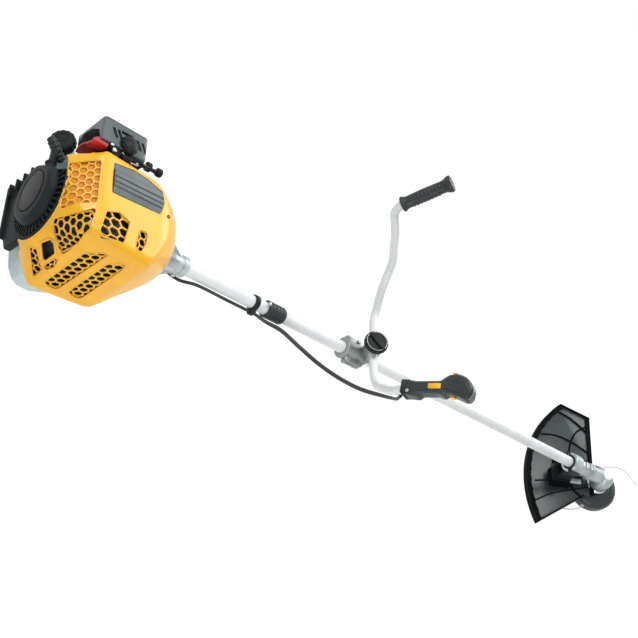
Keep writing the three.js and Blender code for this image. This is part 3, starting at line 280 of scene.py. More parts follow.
# the cover's yellow darkened as painted shade, for the floor of the blind honeycomb
SHADED_YELLOW = Finish("yellow_recess_shade", (0.78, 0.33, 0.006), (0.66, 0.25, 0.004), (0.6, 0.75),
               slot="yellow_cover")
GREY = Finish("dark_grey", (0.022, 0.027, 0.029), (0.014, 0.018, 0.019), (0.34, 0.5), wear_and_highlight=0.5,
              shine=0.08, slot="dark_grey")
SHEEN = Finish("sheen_black", (0.044, 0.053, 0.055), (0.028, 0.034, 0.036), (0.22, 0.34), drift=9.0,
               shine=0.2, slot="black_plastic")
# near black; on the air box's slot floors it is painted shade
PITCH = Finish("pitch_black", (0.006, 0.007, 0.008), (0.003, 0.004, 0.004), (0.7, 0.85), shine=0.04,
               slot="black_plastic")
SLATE = Finish("slate_panel", (0.120, 0.143, 0.147), (0.090, 0.108, 0.112), (0.26, 0.38),
               shine=0.3, slot="filter_grey")
BLACK = Finish("black_plastic", (0.018, 0.021, 0.022), (0.010, 0.012, 0.013), (0.30, 0.46),
               wear_and_highlight=0.5, shine=0.12, slot="black_plastic")
RUBBER = Finish("rubber", (0.044, 0.051, 0.052), (0.026, 0.030, 0.031), (0.26, 0.38), grain=2200.0,
                relief=0.3, shine=0.2, slot="rubber")
TANK = Finish("milky_tank", (0.72, 0.86, 0.87), (0.62, 0.75, 0.76), (0.32, 0.42), relief=0.05,
              clear=0.15, slot="milky_tank")
CAST = Finish("cast_aluminium", (0.46, 0.51, 0.52), (0.33, 0.365, 0.375), (0.30, 0.44), 0.65,
              grain=1100.0, relief=0.35, slot="cast_aluminium")
DULL = Finish("dull_cast", (0.31, 0.34, 0.335), (0.20, 0.22, 0.217), (0.34, 0.46), 0.5,
              grain=1000.0, relief=0.2, slot="cast_aluminium")
DECK = Finish("guard_black", (0.032, 0.047, 0.048), (0.020, 0.029, 0.030), (0.22, 0.34), drift=9.0,
              shine=0.35, slot="black_plastic")
STEEL = Finish("steel", (0.58, 0.58, 0.57), (0.46, 0.46, 0.46), (0.24, 0.36), 1.0, relief=0.08,
               slot="steel")
SILVER = Finish("painted_silver", (0.73, 0.755, 0.755), (0.66, 0.685, 0.685), (0.40, 0.48), 0.1,
                relief=0.02, edge=0.0003, shine=0.2, slot="tube_silver")
WHITE = Finish("white_cap", (0.88, 0.89, 0.88), (0.80, 0.81, 0.80), (0.25, 0.35), relief=0.06,
               slot="cap_white")
RED = Finish("red_plastic", (0.58, 0.020, 0.024), (0.42, 0.012, 0.016), (0.24, 0.34), coat=0.2,
             slot="red_plastic")
CONTROL = Finish("control_yellow", (0.90, 0.50, 0.020), (0.82, 0.42, 0.015), (0.3, 0.4),
                 slot="control_yellow")
BADGE = Finish("badge_black", (0.020, 0.021, 0.024), (0.012, 0.012, 0.014), (0.16, 0.24),
               relief=0.03, shine=0.08, slot="badge")
FOAM = Finish("foam", (0.05, 0.05, 0.052), (0.025, 0.025, 0.026), (0.85, 0.95), grain=700.0,
              relief=1.0, slot="foam")
ROPE = Finish("rope", (0.045, 0.045, 0.043), (0.015, 0.015, 0.014), (0.7, 0.85), grain=900.0,
              relief=0.8, slot="rope")
BULB = Finish("primer_bulb", (0.50, 0.52, 0.50), (0.42, 0.44, 0.42), (0.18, 0.28), clear=0.25,
              slot="bulb")
SOOT = Finish("exhaust_steel", (0.20, 0.18, 0.16), (0.10, 0.09, 0.085), (0.45, 0.7), 0.9,
              drift=60.0, relief=0.3, slot="exhaust")
NYLON = Finish("nylon_line", (0.66, 0.68, 0.66), (0.56, 0.58, 0.56), (0.28, 0.4), clear=0.1,
               slot="nylon_line")

# The finish that each node of the frame wears.
CAD_FINISHES: dict[Finish, tuple[str, ...]] = {
    YELLOW: ("engine_cover",),
    SHEEN: ("fuel_cap",),
    GREY: ("recoil_housing", "throttle_shell_rear", "throttle_shell_front"),
    SLATE: ("cover_panel", "air_filter_cover"),
    BLACK: ("air_filter_base", "filter_knob", "clamp_knob", "throttle_trigger", "head_housing",
            "bump_knob", "guard", "cable_clip", "starter_pulley", "engine_foot", "guard_bracket"),
    RUBBER: ("starter_handle", "left_grip", "throttle_cable", "spark_plug", "hanger_collar"),
    TANK: ("fuel_tank",),
    CAST: ("crankcase", "cylinder", "piston", "flywheel_fan", "carburettor", "clutch_housing",
           "handle_base", "handle_base_lower", "handle_cap", "gear_case"),
    STEEL: ("crank_rear", "crank_front", "connecting_rod", "clutch_shoes", "clutch_drum",
            "drive_shaft", "pinion", "output_gear", "throttle_arm", "cable_bracket",
            "line_cutter"),
    SILVER: ("shaft_tube", "handlebar"),
    WHITE: ("gear_cap", "line_spool"),
    RED: ("choke_lever",),
    CONTROL: ("safety_lever", "stop_switch", "lock_button"),
    BADGE: ("starter_badge",),
    FOAM: ("air_filter_element",),
    ROPE: ("starter_rope",),
    BULB: ("primer_bulb",),
    SOOT: ("muffler",),
    NYLON: ("trimmer_line_a", "trimmer_line_b"),
}


# ------------------------------------------------------------------------------ shapes


@dataclass(frozen=True)
class Place:
    """A local frame in the row frame: an origin and three axes, in millimetres."""

    origin: Vector = (0.0, 0.0, 0.0)
    x: Vector = (1.0, 0.0, 0.0)
    y: Vector = (0.0, 1.0, 0.0)
    z: Vector = (0.0, 0.0, 1.0)

    def world(self, points: np.ndarray) -> np.ndarray:
        """Sends local points to the row frame."""
        return np.asarray(self.origin) + points @ np.array((self.x, self.y, self.z), float)

    def aimed(self, axis: Axis, origin: Sequence[float] = (0.0, 0.0, 0.0)) -> "Place":
        """Returns a frame whose local Z runs along one of this frame's axes.

        Args:
            axis: the axis of this frame that becomes local Z.
            origin: its origin, in this frame.

        Returns:
            The new frame.
        """
        x, y, z = {Axis.X: (self.y, self.z, self.x), Axis.Y: (self.z, self.x, self.y),
                   Axis.Z: (self.x, self.y, self.z)}[axis]
        return self.moved(origin, x, y, z)

    def moved(self, origin: Sequence[float], *axes: Vector) -> "Place":
        """Returns a frame that starts at a point of this one, with new axes or this one's."""
        start = tuple(self.world(np.asarray(origin, float)))
        return Place(start, *(axes or (self.x, self.y, self.z)))

    @staticmethod
    def turned(degrees: float) -> "Place":
        """Returns the row frame turned about Z."""
        c, s = math.cos(math.radians(degrees)), math.sin(math.radians(degrees))
        return Place(x=(c, s, 0.0), y=(-s, c, 0.0))


ROW = Place()
ENGINE = Place((0.0, 0.0, AXIS_HEIGHT))  # on the crank axis
CRANK = ENGINE.aimed(Axis.X)  # Z along the crank and the shaft
SIDE = ENGINE.aimed(Axis.Y)  # Z out of the engine's side with the tank cap
TIP = math.radians(30.0)  # how far the handlebar's clamp and the line head lean
CLAMP = Place((698.0, 0.0, 206.0), (math.cos(TIP), 0.0, math.sin(TIP)), (0.0, 1.0, 0.0),
              (-math.sin(TIP), 0.0, math.cos(TIP)))
HEAD = Place((1693.0, 0.0, AXIS_HEIGHT), CLAMP.x, CLAMP.y, CLAMP.z)
RIGHT_GRIP = Place((569.0, -221.0, 411.0), (0.9377, 0.0, -0.3467), (0.0696, 0.9796, 0.1882),
                   (0.3397, -0.2007, 0.9187))
LEFT_GRIP = Place((569.0, 221.0, 411.0), (0.9377, 0.0, -0.3467), (-0.0696, 0.9796, -0.1882),
                  (0.3397, 0.2007, 0.9187))


@dataclass
class Shape:
    """A surface under construction: points in millimetres and faces that index them."""

    points: np.ndarray
    faces: list[list[int]]

    @staticmethod
    def grid(points: np.ndarray, around: bool = True, ends: bool = True) -> "Shape":
        """Faces a grid of points.

        Args:
            points: rows x columns x 3.
            around: the last column joins the first.
            ends: the first and last rows are capped.

        Returns:
            The shape.
        """
        rows, columns = points.shape[:2]
        index = np.arange(rows * columns).reshape(rows, columns)
        if around:
            index = np.hstack([index, index[:, :1]])
        quads = np.stack([index[:-1, :-1], index[:-1, 1:], index[1:, 1:], index[1:, :-1]], -1)
        faces = quads.reshape(-1, 4).tolist()
        if ends:
            faces += [index[0, :columns][::-1].tolist(), index[-1, :columns].tolist()]
        return Shape(points.reshape(-1, 3), faces)

    @staticmethod
    def join(*shapes: "Shape") -> "Shape":
        """Puts several shapes into one.

        Args:
            shapes: the shapes, in order.

        Returns:
            One shape with all their points and faces.
        """
        starts = np.cumsum([0] + [len(s.points) for s in shapes])
        faces = [[i + int(start) for i in face] for s, start in zip(shapes, starts)
                 for face in s.faces]
        return Shape(np.vstack([s.points for s in shapes]), faces)

    def placed(self, place: Place) -> "Shape":
        """Returns the shape sent from a local frame to the row frame."""
        return Shape(place.world(self.points), self.faces)

    def spun(self, angles: np.ndarray) -> "Shape":
        """Copies the shape round local Z: x' = x cos a - y sin a, y' = x sin a + y cos a.

        Args:
            angles: the turn of each copy, in degrees.

        Returns:
            All the copies as one shape.
        """
        turns = np.radians(angles)
        c, s = np.cos(turns)[:, None], np.sin(turns)[:, None]
        x, y, z = self.points.T
        height = np.broadcast_to(z, (len(turns), len(z)))
        every = np.stack([c * x - s * y, s * x + c * y, height], -1)
        faces = [[i + k * len(self.points) for i in face] for k in range(len(turns))
                 for face in self.faces]
        return Shape(every.reshape(-1, 3), faces)


def lathe(profile: Sequence[Sequence[float]], sides: int = 64, place: Place = ROW,
          closed: bool = False) -> Shape:
    """Turns a profile about local Z: each point becomes (r cos t, r sin t, h).

    Args:
        profile: radius r and height h of each point; an end off the axis is capped flat.
        sides: points around.
        place: the frame it is drawn in.
        closed: the profile is a loop, so the body is a ring.

    Returns:
        The shape in the row frame.
    """
    line = np.array(profile, float)
    if closed:
        line = np.vstack([line, line[:1]])
    turn = np.linspace(0.0, 2.0 * np.pi, sides, endpoint=False)
    r, h = line[:, :1], line[:, 1:]
    height = np.broadcast_to(h, (len(line), sides))
    points = np.stack([r * np.cos(turn), r * np.sin(turn), height], -1)
    return Shape.grid(points, ends=not closed).placed(place)


def knurled(profile: Sequence[Sequence[float]], sides: int, count: int, depth: float,
            start: float, blend: float) -> Shape:
    """Turns a profile whose rim waves: r is cut by depth (1 + tanh(4 cos(count t))) / 2.

    The wave grows in from the start radius over the blend, so that the middle stays round.

    Args:
        profile: radius and height of each point.
        sides: points around.
        count: waves around.
        depth: share of the radius that a wave takes.
        start: radius where the wave begins.
        blend: width over which it grows.

    Returns:
        The shape about local Z.
    """
    line = np.array(profile, float)
    turn = np.linspace(0.0, 2.0 * np.pi, sides, endpoint=False)
    wave = depth * (0.5 + 0.5 * np.tanh(4.0 * np.cos(count * turn)))
    near = np.clip((line[:, 0] - start) / blend, 0.0, 1.0)[:, None]
    r = line[:, :1] * (1.0 - near * wave)
    height = np.broadcast_to(line[:, 1:], r.shape)
    return Shape.grid(np.stack([r * np.cos(turn), r * np.sin(turn), height], -1))


def rounded(outline: Sequence[Sequence[float]], radius: float, steps: int = 5) -> np.ndarray:
    """Rounds every corner of a closed outline with an arc of the radius, or what fits.

    The arc touches both sides at radius / tan(half the corner's angle) from the corner, and its
    points lie at even turns between the two spokes from the arc's centre.

    Args:
        outline: corner points in two or three dimensions.
        radius: arc radius.
        steps: spans of each arc.

    Returns:
        The rounded outline, steps + 1 points a corner.
    """
    corner = np.array(outline, float)
    before, after = np.roll(corner, 1, 0) - corner, np.roll(corner, -1, 0) - corner
    long_before, long_after = (np.linalg.norm(v, axis=1, keepdims=True) for v in (before, after))
    a, b = before / long_before, after / long_after
    half = np.arccos(np.clip(np.sum(a * b, 1, keepdims=True), -1.0, 0.9999)) / 2.0
    reach = np.minimum(radius / np.tan(half), 0.49 * np.minimum(long_before, long_after))
    fit = reach * np.tan(half)
    middle = (a + b) / np.maximum(np.linalg.norm(a + b, axis=1, keepdims=True), 1e-9)
    centre = corner + middle * fit / np.sin(half)
    start, end = corner + a * reach - centre, corner + b * reach - centre
    sweep_angle = np.pi - 2.0 * half
    t = np.linspace(0.0, 1.0, steps + 1)[None, :, None]
    angle = np.maximum(sweep_angle, 1e-4)[:, :, None]
    arc = (np.sin((1 - t) * angle) * start[:, None] + np.sin(t * angle) * end[:, None])
    return (centre[:, None] + arc / np.sin(angle)).reshape(-1, corner.shape[1])


def inset(outline: np.ndarray, distance: float) -> np.ndarray:
    """Moves a closed outline inwards, whichever way it runs.

    A corner moves along the sum of its two inward unit normals n and m, by distance / (1 + n.m).

    Args:
        outline: closed outline, as x and y.
        distance: how far each side moves; a negative one grows the outline.

    Returns:
        The moved outline.
    """
    ahead = np.roll(outline, -1, 0)
    step = ahead - outline
    way = np.sign(np.sum(outline[:, 0] * ahead[:, 1] - ahead[:, 0] * outline[:, 1]))
    side = way * np.stack([-step[:, 1], step[:, 0]], 1)
    side /= np.maximum(np.linalg.norm(side, axis=1, keepdims=True), 1e-9)
    back = np.roll(side, 1, 0)
    share = np.maximum(1.0 + np.sum(side * back, 1, keepdims=True), 0.3)
    return outline + distance * (side + back) / share


def slab(outline: np.ndarray, low: float, high: float, ease: float = 1.5, steps: int = 3,
         place: Place = ROW) -> Shape:
    """Thickens an outline along local Z and rolls both rims over by quarter circles.

    At turn t of the roll the outline is inset by ease (1 - sin t) and lifted by
    ease (1 - cos t).

    Args:
        outline: closed outline in local X and Y, either way round.
        low: lower face.
        high: upper face.
        ease: radius of the rolled rims.
        steps: spans of each quarter circle.
        place: the frame it is drawn in.

    Returns:
        The shape in the row frame.
    """
    ahead = np.roll(outline, -1, 0)
    if np.sum(outline[:, 0] * ahead[:, 1] - ahead[:, 0] * outline[:, 1]) < 0.0:
        outline = outline[::-1]
    turn = np.linspace(0.0, np.pi / 2.0, steps + 1)
    inward = ease * (1.0 - np.sin(turn))
    lift = ease * (1.0 - np.cos(turn))
    rims = [(float(d), low + float(h)) for d, h in zip(inward, lift)]
    rims += [(d, high + low - h) for d, h in reversed(rims)]
    rows = [np.column_stack([inset(outline, d), np.full(len(outline), h)]) for d, h in rims]
    return Shape.grid(np.stack(rows)).placed(place)


def block(low: Sequence[float], high: Sequence[float], corner: float = 4.0, ease: float = 1.5,
          place: Place = ROW) -> Shape:
    """Makes a box with rounded corners in plan and rolled rims.

    Args:
        low: its lowest corner.
        high: its highest corner.
        corner: radius of the four upright edges.
        ease: radius of the rolled rims.
        place: the frame it is drawn in.

    Returns:
        The shape in the row frame.
    """
    (x0, y0, z0), (x1, y1, z1) = low, high
    outline = rounded([(x0, y0), (x1, y0), (x1, y1), (x0, y1)], corner)
    return slab(outline, z0, z1, ease, place=place)


def smooth_path(points: Sequence[Sequence[float]], spans: int = 8) -> np.ndarray:
    """Runs a centripetal Catmull-Rom curve through the points.

    Knots stand apart by the square root of the distance between points; each span is three
    rounds of straight blends between neighbours, weighted by the distance to their knots.

    Args:
        points: points on the curve.
        spans: steps between two points.

    Returns:
        The points along the curve.
    """
    p = np.array(points, float)
    p = np.vstack([2 * p[0] - p[1], p, 2 * p[-1] - p[-2]])
    knots = np.concatenate([[0.0], np.cumsum(np.linalg.norm(np.diff(p, axis=0), axis=1) ** 0.5)])
    k0, k1, k2, k3 = (knots[i:len(knots) - 3 + i, None, None] for i in range(4))
    p0, p1, p2, p3 = (p[i:len(p) - 3 + i, None, :] for i in range(4))
    t = k1 + (k2 - k1) * np.linspace(0.0, 1.0, spans, endpoint=False)[None, :, None]
    a1 = (k1 - t) / (k1 - k0) * p0 + (t - k0) / (k1 - k0) * p1
    a2 = (k2 - t) / (k2 - k1) * p1 + (t - k1) / (k2 - k1) * p2
    a3 = (k3 - t) / (k3 - k2) * p2 + (t - k2) / (k3 - k2) * p3
    b1 = (k2 - t) / (k2 - k0) * a1 + (t - k0) / (k2 - k0) * a2
    b2 = (k3 - t) / (k3 - k1) * a2 + (t - k1) / (k3 - k1) * a3
    curve = (k2 - t) / (k2 - k1) * b1 + (t - k1) / (k2 - k1) * b2
    return np.vstack([curve.reshape(-1, 3), p[-2]])


def sweep(path: np.ndarray, outline: np.ndarray, closed: bool = False,
          scale: Optional[np.ndarray] = None) -> Shape:
    """Carries an outline along a path without twist.

    A point (u, v) of the outline becomes path + scale (u side + v up), where the side is the one
    before it less its part along the path, and up is ahead x side.

    Args:
        path: points of the path, in the row frame.
        outline: closed outline across the path, as side and up.
        closed: the path is a loop.
        scale: size of the outline at each point of the path.

    Returns:
        The shape.
    """
    ahead = np.roll(path, -1, 0) - np.roll(path, 1, 0)
    if not closed:
        ahead[0], ahead[-1] = path[1] - path[0], path[-1] - path[-2]
    ahead /= np.linalg.norm(ahead, axis=1, keepdims=True)
    side = np.cross((0.0, 0.0, 1.0), ahead[0])
    if np.linalg.norm(side) < 0.2:
        side = np.cross((0.0, 1.0, 0.0), ahead[0])
    sides = []
    for direction in ahead:
        side = side - direction * (side @ direction)
        side = side / np.linalg.norm(side)
        sides.append(side)
    across = np.array(sides)
    up = np.cross(ahead, across)
    size = np.ones(len(path)) if scale is None else scale
    rows = (path[:, None] + size[:, None, None] *
            (outline[None, :, :1] * across[:, None] + outline[None, :, 1:] * up[:, None]))
    if closed:
        rows = np.vstack([rows, rows[:1]])
    return Shape.grid(rows, ends=not closed)


def disc(radius: float, sides: int = 16) -> np.ndarray:
    """Returns points around a circle, counter-clockwise."""
    turn = np.linspace(0.0, 2.0 * np.pi, sides, endpoint=False)
    return radius * np.column_stack([np.cos(turn), np.sin(turn)])


def arc(centre: Sequence[float], radius: float, start: float, end: float,
        steps: int) -> np.ndarray:
    """Returns points along an arc, from one angle to the other, in degrees."""
    turn = np.radians(np.linspace(start, end, steps + 1))
    return np.column_stack([centre[0] + radius * np.cos(turn), centre[1] + radius * np.sin(turn)])


def bare(name: str, shape: Shape) -> bpy.types.Object:
    """Makes a mesh object with welded points, faces outward and no finish yet.

    Args:
        name: its name.
        shape: points in millimetres in the row frame, and faces.

    Returns:
        The object, linked to the scene.
    """
    mesh = bpy.data.meshes.new(name)
    mesh.from_pydata((shape.points * MM).tolist(), [], shape.faces)
    work = bmesh.new()
    work.from_mesh(mesh)
    bmesh.ops.remove_doubles(work, verts=work.verts, dist=WELD)
    bmesh.ops.dissolve_degenerate(work, edges=work.edges, dist=WELD / 2.0)
    bmesh.ops.recalc_face_normals(work, faces=work.faces)
    work.to_mesh(mesh)
    work.free()
    made = bpy.data.objects.new(name, mesh)
    show(made)
    return made


def show(made: bpy.types.Object) -> None:
    """Puts an object into the scene."""
    bpy.context.scene.collection.objects.link(made)


def thicken(made: bpy.types.Object, wall: float) -> None:
    """Gives a surface a wall behind its faces.

    Args:
        made: the surface's object.
        wall: the wall's thickness, in millimetres.
    """
    modifier = made.modifiers.new("wall", "SOLIDIFY")
    modifier.thickness = wall * MM
    modifier.offset = -1.0


def bake(made: bpy.types.Object) -> None:
    """Turns an object's modifiers into its own mesh.

    Args:
        made: the object, whose modifiers are cleared.
    """
    shown = made.evaluated_get(bpy.context.evaluated_depsgraph_get())
    mesh = bpy.data.meshes.new_from_object(shown)
    mesh.name = made.name
    made.modifiers.clear()
    made.data = mesh


def carve(made: bpy.types.Object, tools: Sequence[Shape]) -> None:
    """Cuts shapes out of an object.

    Args:
        made: the object, a closed mesh.
        tools: closed shapes to take away.
    """
    cutters = [bare(f"cutter_{i}", tool) for i, tool in enumerate(tools)]
    for cutter in cutters:
        modifier = made.modifiers.new("carve", "BOOLEAN")
        modifier.operation = "DIFFERENCE"
        modifier.solver = "EXACT"
        modifier.object = cutter
    bake(made)
    for cutter in cutters:
        bpy.data.objects.remove(cutter)


def finish_off(made: bpy.types.Object, finish: Finish, body: Optional[Body] = Body.FRAME,
               nodes: Sequence[str] = (), sharp: float = 34.0) -> bpy.types.Object:
    """Shades a piece, gives it its finish and seats it on its body.

    Args:
        made: the object.
        finish: its finish.
        body: the moving body it rides on, or none to leave the piece unattached.
        nodes: the frame's nodes that it stands for.
        sharp: edges that turn by more than this many degrees stay sharp.

    Returns:
        The same object.
    """
    mesh = made.data
    mesh.materials.clear()
    mesh.materials.append(finish.material())
    mesh.polygons.foreach_set("use_smooth", np.ones(len(mesh.polygons), bool))
    mesh.set_sharp_from_angle(angle=math.radians(sharp))
    if body:
        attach(made, body.value)
    if nodes:
        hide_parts(*nodes)
    seat = body.value if body else "two bodies"
    LOG.info("%s: %d faces on %s", made.name, len(mesh.polygons), seat)
    return made


def piece(name: str, shape: Shape, finish: Finish, body: Optional[Body] = Body.FRAME,
          nodes: Sequence[str] = ()) -> bpy.types.Object:
    """Makes, dresses and seats a piece in one go."""
    return finish_off(bare(name, shape), finish, body, nodes)


# ------------------------------------------------------------------------------ shading


def shading_group(limit_deg: float) -> bpy.types.NodeTree:
    """Makes a node group that welds a mesh and shades it smooth up to an edge angle.

    Args:
        limit_deg: edges that turn by more than this stay sharp.

    Returns:
        The geometry node group.
    """
    name = f"soft_shade_{limit_deg:.0f}"
    if name in bpy.data.node_groups:
        return bpy.data.node_groups[name]
    group = bpy.data.node_groups.new(name, "GeometryNodeTree")
    for way in ("INPUT", "OUTPUT"):
        group.interface.new_socket("Geometry", in_out=way, socket_type="NodeSocketGeometry")
    graph = Graph(group)
    start, end = graph.add("NodeGroupInput"), graph.add("NodeGroupOutput")
    weld = graph.add("GeometryNodeMergeByDistance", {"Distance": WELD})
    faces = graph.add("GeometryNodeSetShadeSmooth")
    edges = graph.add("GeometryNodeSetShadeSmooth", {"Shade Smooth": False})
    edges.domain = "EDGE"
    angle = graph.add("GeometryNodeInputMeshEdgeAngle")
    sharp = graph.add("FunctionNodeCompare", {"B": math.radians(limit_deg)})
    graph.join(start.outputs[0], weld.inputs["Geometry"])
    graph.join(weld.outputs["Geometry"], faces.inputs["Geometry"])
    graph.join(faces.outputs["Geometry"], edges.inputs["Geometry"])
    graph.join(angle.outputs["Unsigned Angle"], sharp.inputs["A"])
    graph.join(sharp.outputs["Result"], edges.inputs["Selection"])
    graph.join(edges.outputs["Geometry"], end.inputs[0])
    return group


def soft_shade(made: bpy.types.Object, limit_deg: float = 32.0) -> None:
    """Gives an object the shading group as a modifier."""
    modifier = made.modifiers.new("soft_shade", "NODES")
    modifier.node_group = shading_group(limit_deg)


class FrameDress:
    """Dresses the nodes that the frame brings: a finish and smooth shading for each."""

    @staticmethod
    def build() -> None:
        """Gives every node that is still shown its finish and its shading."""
        for finish, names in CAD_FINISHES.items():
            material = finish.material()
            for name in names:
                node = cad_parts[name]
                if node.hide_render:
                    continue
                node.data.materials.clear()
                node.data.materials.append(material)
                soft_shade(node)
        dressed = {name for names in CAD_FINISHES.values() for name in names}
        LOG.info("nodes without a finish: %s", sorted(set(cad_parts) - dressed))


# ----------------------------------------------------------------------- engine cover


@dataclass(frozen=True)
class Field:
    """A flat field on the cover: where it lies and the outline of its opening.

    The origin is measured from the crank axis. The pitch, squeeze, shift and wall are those of
    its honeycomb, and a pitch of nothing leaves it open. The reach is how far the opening is cut
    to either side, and the lip is the radius of the bead around it.
    """

    name: str
    origin: Vector
    along: Vector
    normal: Vector
    corners: tuple[tuple[float, float], ...]
    corner_radius: float = 5.0
    pitch: float = 0.0
    squeeze: float = 1.0
    shift: tuple[float, float] = (0.0, 0.0)
    wall: float = 2.6
    reach: float = 10.0
    lip: float = 1.4

    def place(self) -> Place:
        """Returns the field's frame: X along, Z out of the cover."""
        z = np.array(self.normal) / np.linalg.norm(self.normal)
        x = np.array(self.along) - z * (z @ np.array(self.along))
        x /= np.linalg.norm(x)
        return ENGINE.moved(self.origin, tuple(x), tuple(np.cross(z, x)), tuple(z))

    def outline(self, grow: float = 0.0) -> np.ndarray:
        """Returns the rounded outline, grown by the distance."""
        return inset(rounded(self.corners, self.corner_radius), -grow)


MOST_CELLS, MOST_ROWS = 12, 10  # to either side of a field's middle
CELL_OVERLAP = 0.45  # share of a cell that may reach past a field's outline
FAR = 200.0  # past every side of the engine


def inside(points: np.ndarray, corners: np.ndarray, margin: float) -> np.ndarray:
    """Tells which points lie inside a convex outline: step x gap is over the margin all round.

    Args:
        points: the points, as x and y.
        corners: the outline, counter-clockwise.
        margin: least distance from every side; a negative one lets points out.

    Returns:
        True for each point inside.
    """
    step = np.roll(corners, -1, 0) - corners
    step /= np.linalg.norm(step, axis=1, keepdims=True)
    gap = points[:, None] - corners[None]
    return np.all(step[None, :, 0] * gap[..., 1] - step[None, :, 1] * gap[..., 0] > margin, axis=1)


def honeycomb(corners: Sequence[Sequence[float]], pitch: float, wall: float, rows: np.ndarray,
              squeeze: float = 1.0) -> Shape:
    """Fills an outline with six-sided rings that share their outer corners.

    Row j and column i stand at pitch (i + half of j's oddness) and pitch sqrt(3)/2 squeeze j; a
    ring runs from radius pitch / sqrt(3) inwards to the share (pitch - wall) / pitch of it.

    Args:
        corners: convex outline, counter-clockwise.
        pitch: distance between cells in a row.
        wall: thickness between two holes.
        rows: numbers of the rows of cells.
        squeeze: spacing of the rows against that of a regular honeycomb.

    Returns:
        A flat shape in local X and Y.
    """
    step = pitch * math.sqrt(3.0) / 2.0 * squeeze
    columns = np.arange(-MOST_CELLS, MOST_CELLS + 1)
    u = (columns[None, :] + 0.5 * (rows[:, None] % 2)) * pitch
    v = np.broadcast_to(rows[:, None] * step, u.shape)
    centres = np.column_stack([u.ravel(), v.ravel()])
    turn = np.radians(np.arange(6) * 60.0 + 30.0)
    outer = pitch / math.sqrt(3.0) * np.column_stack([np.cos(turn), np.sin(turn) * squeeze])
    inner = outer * (pitch - wall) / pitch
    centres = centres[inside(centres, np.array(corners, float), -CELL_OVERLAP * pitch)]
    ring = np.stack([centres[:, None] + outer, centres[:, None] + inner], 1)
    points = np.concatenate([ring, np.zeros((*ring.shape[:3], 1))], -1).reshape(-1, 3)
    k = np.arange(6)
    quad = np.stack([k, (k + 1) % 6, (k + 1) % 6 + 6, k + 6], 1)
    faces = (quad[None] + 12 * np.arange(len(centres))[:, None, None]).reshape(-1, 4).tolist()
    return Shape(points, faces)


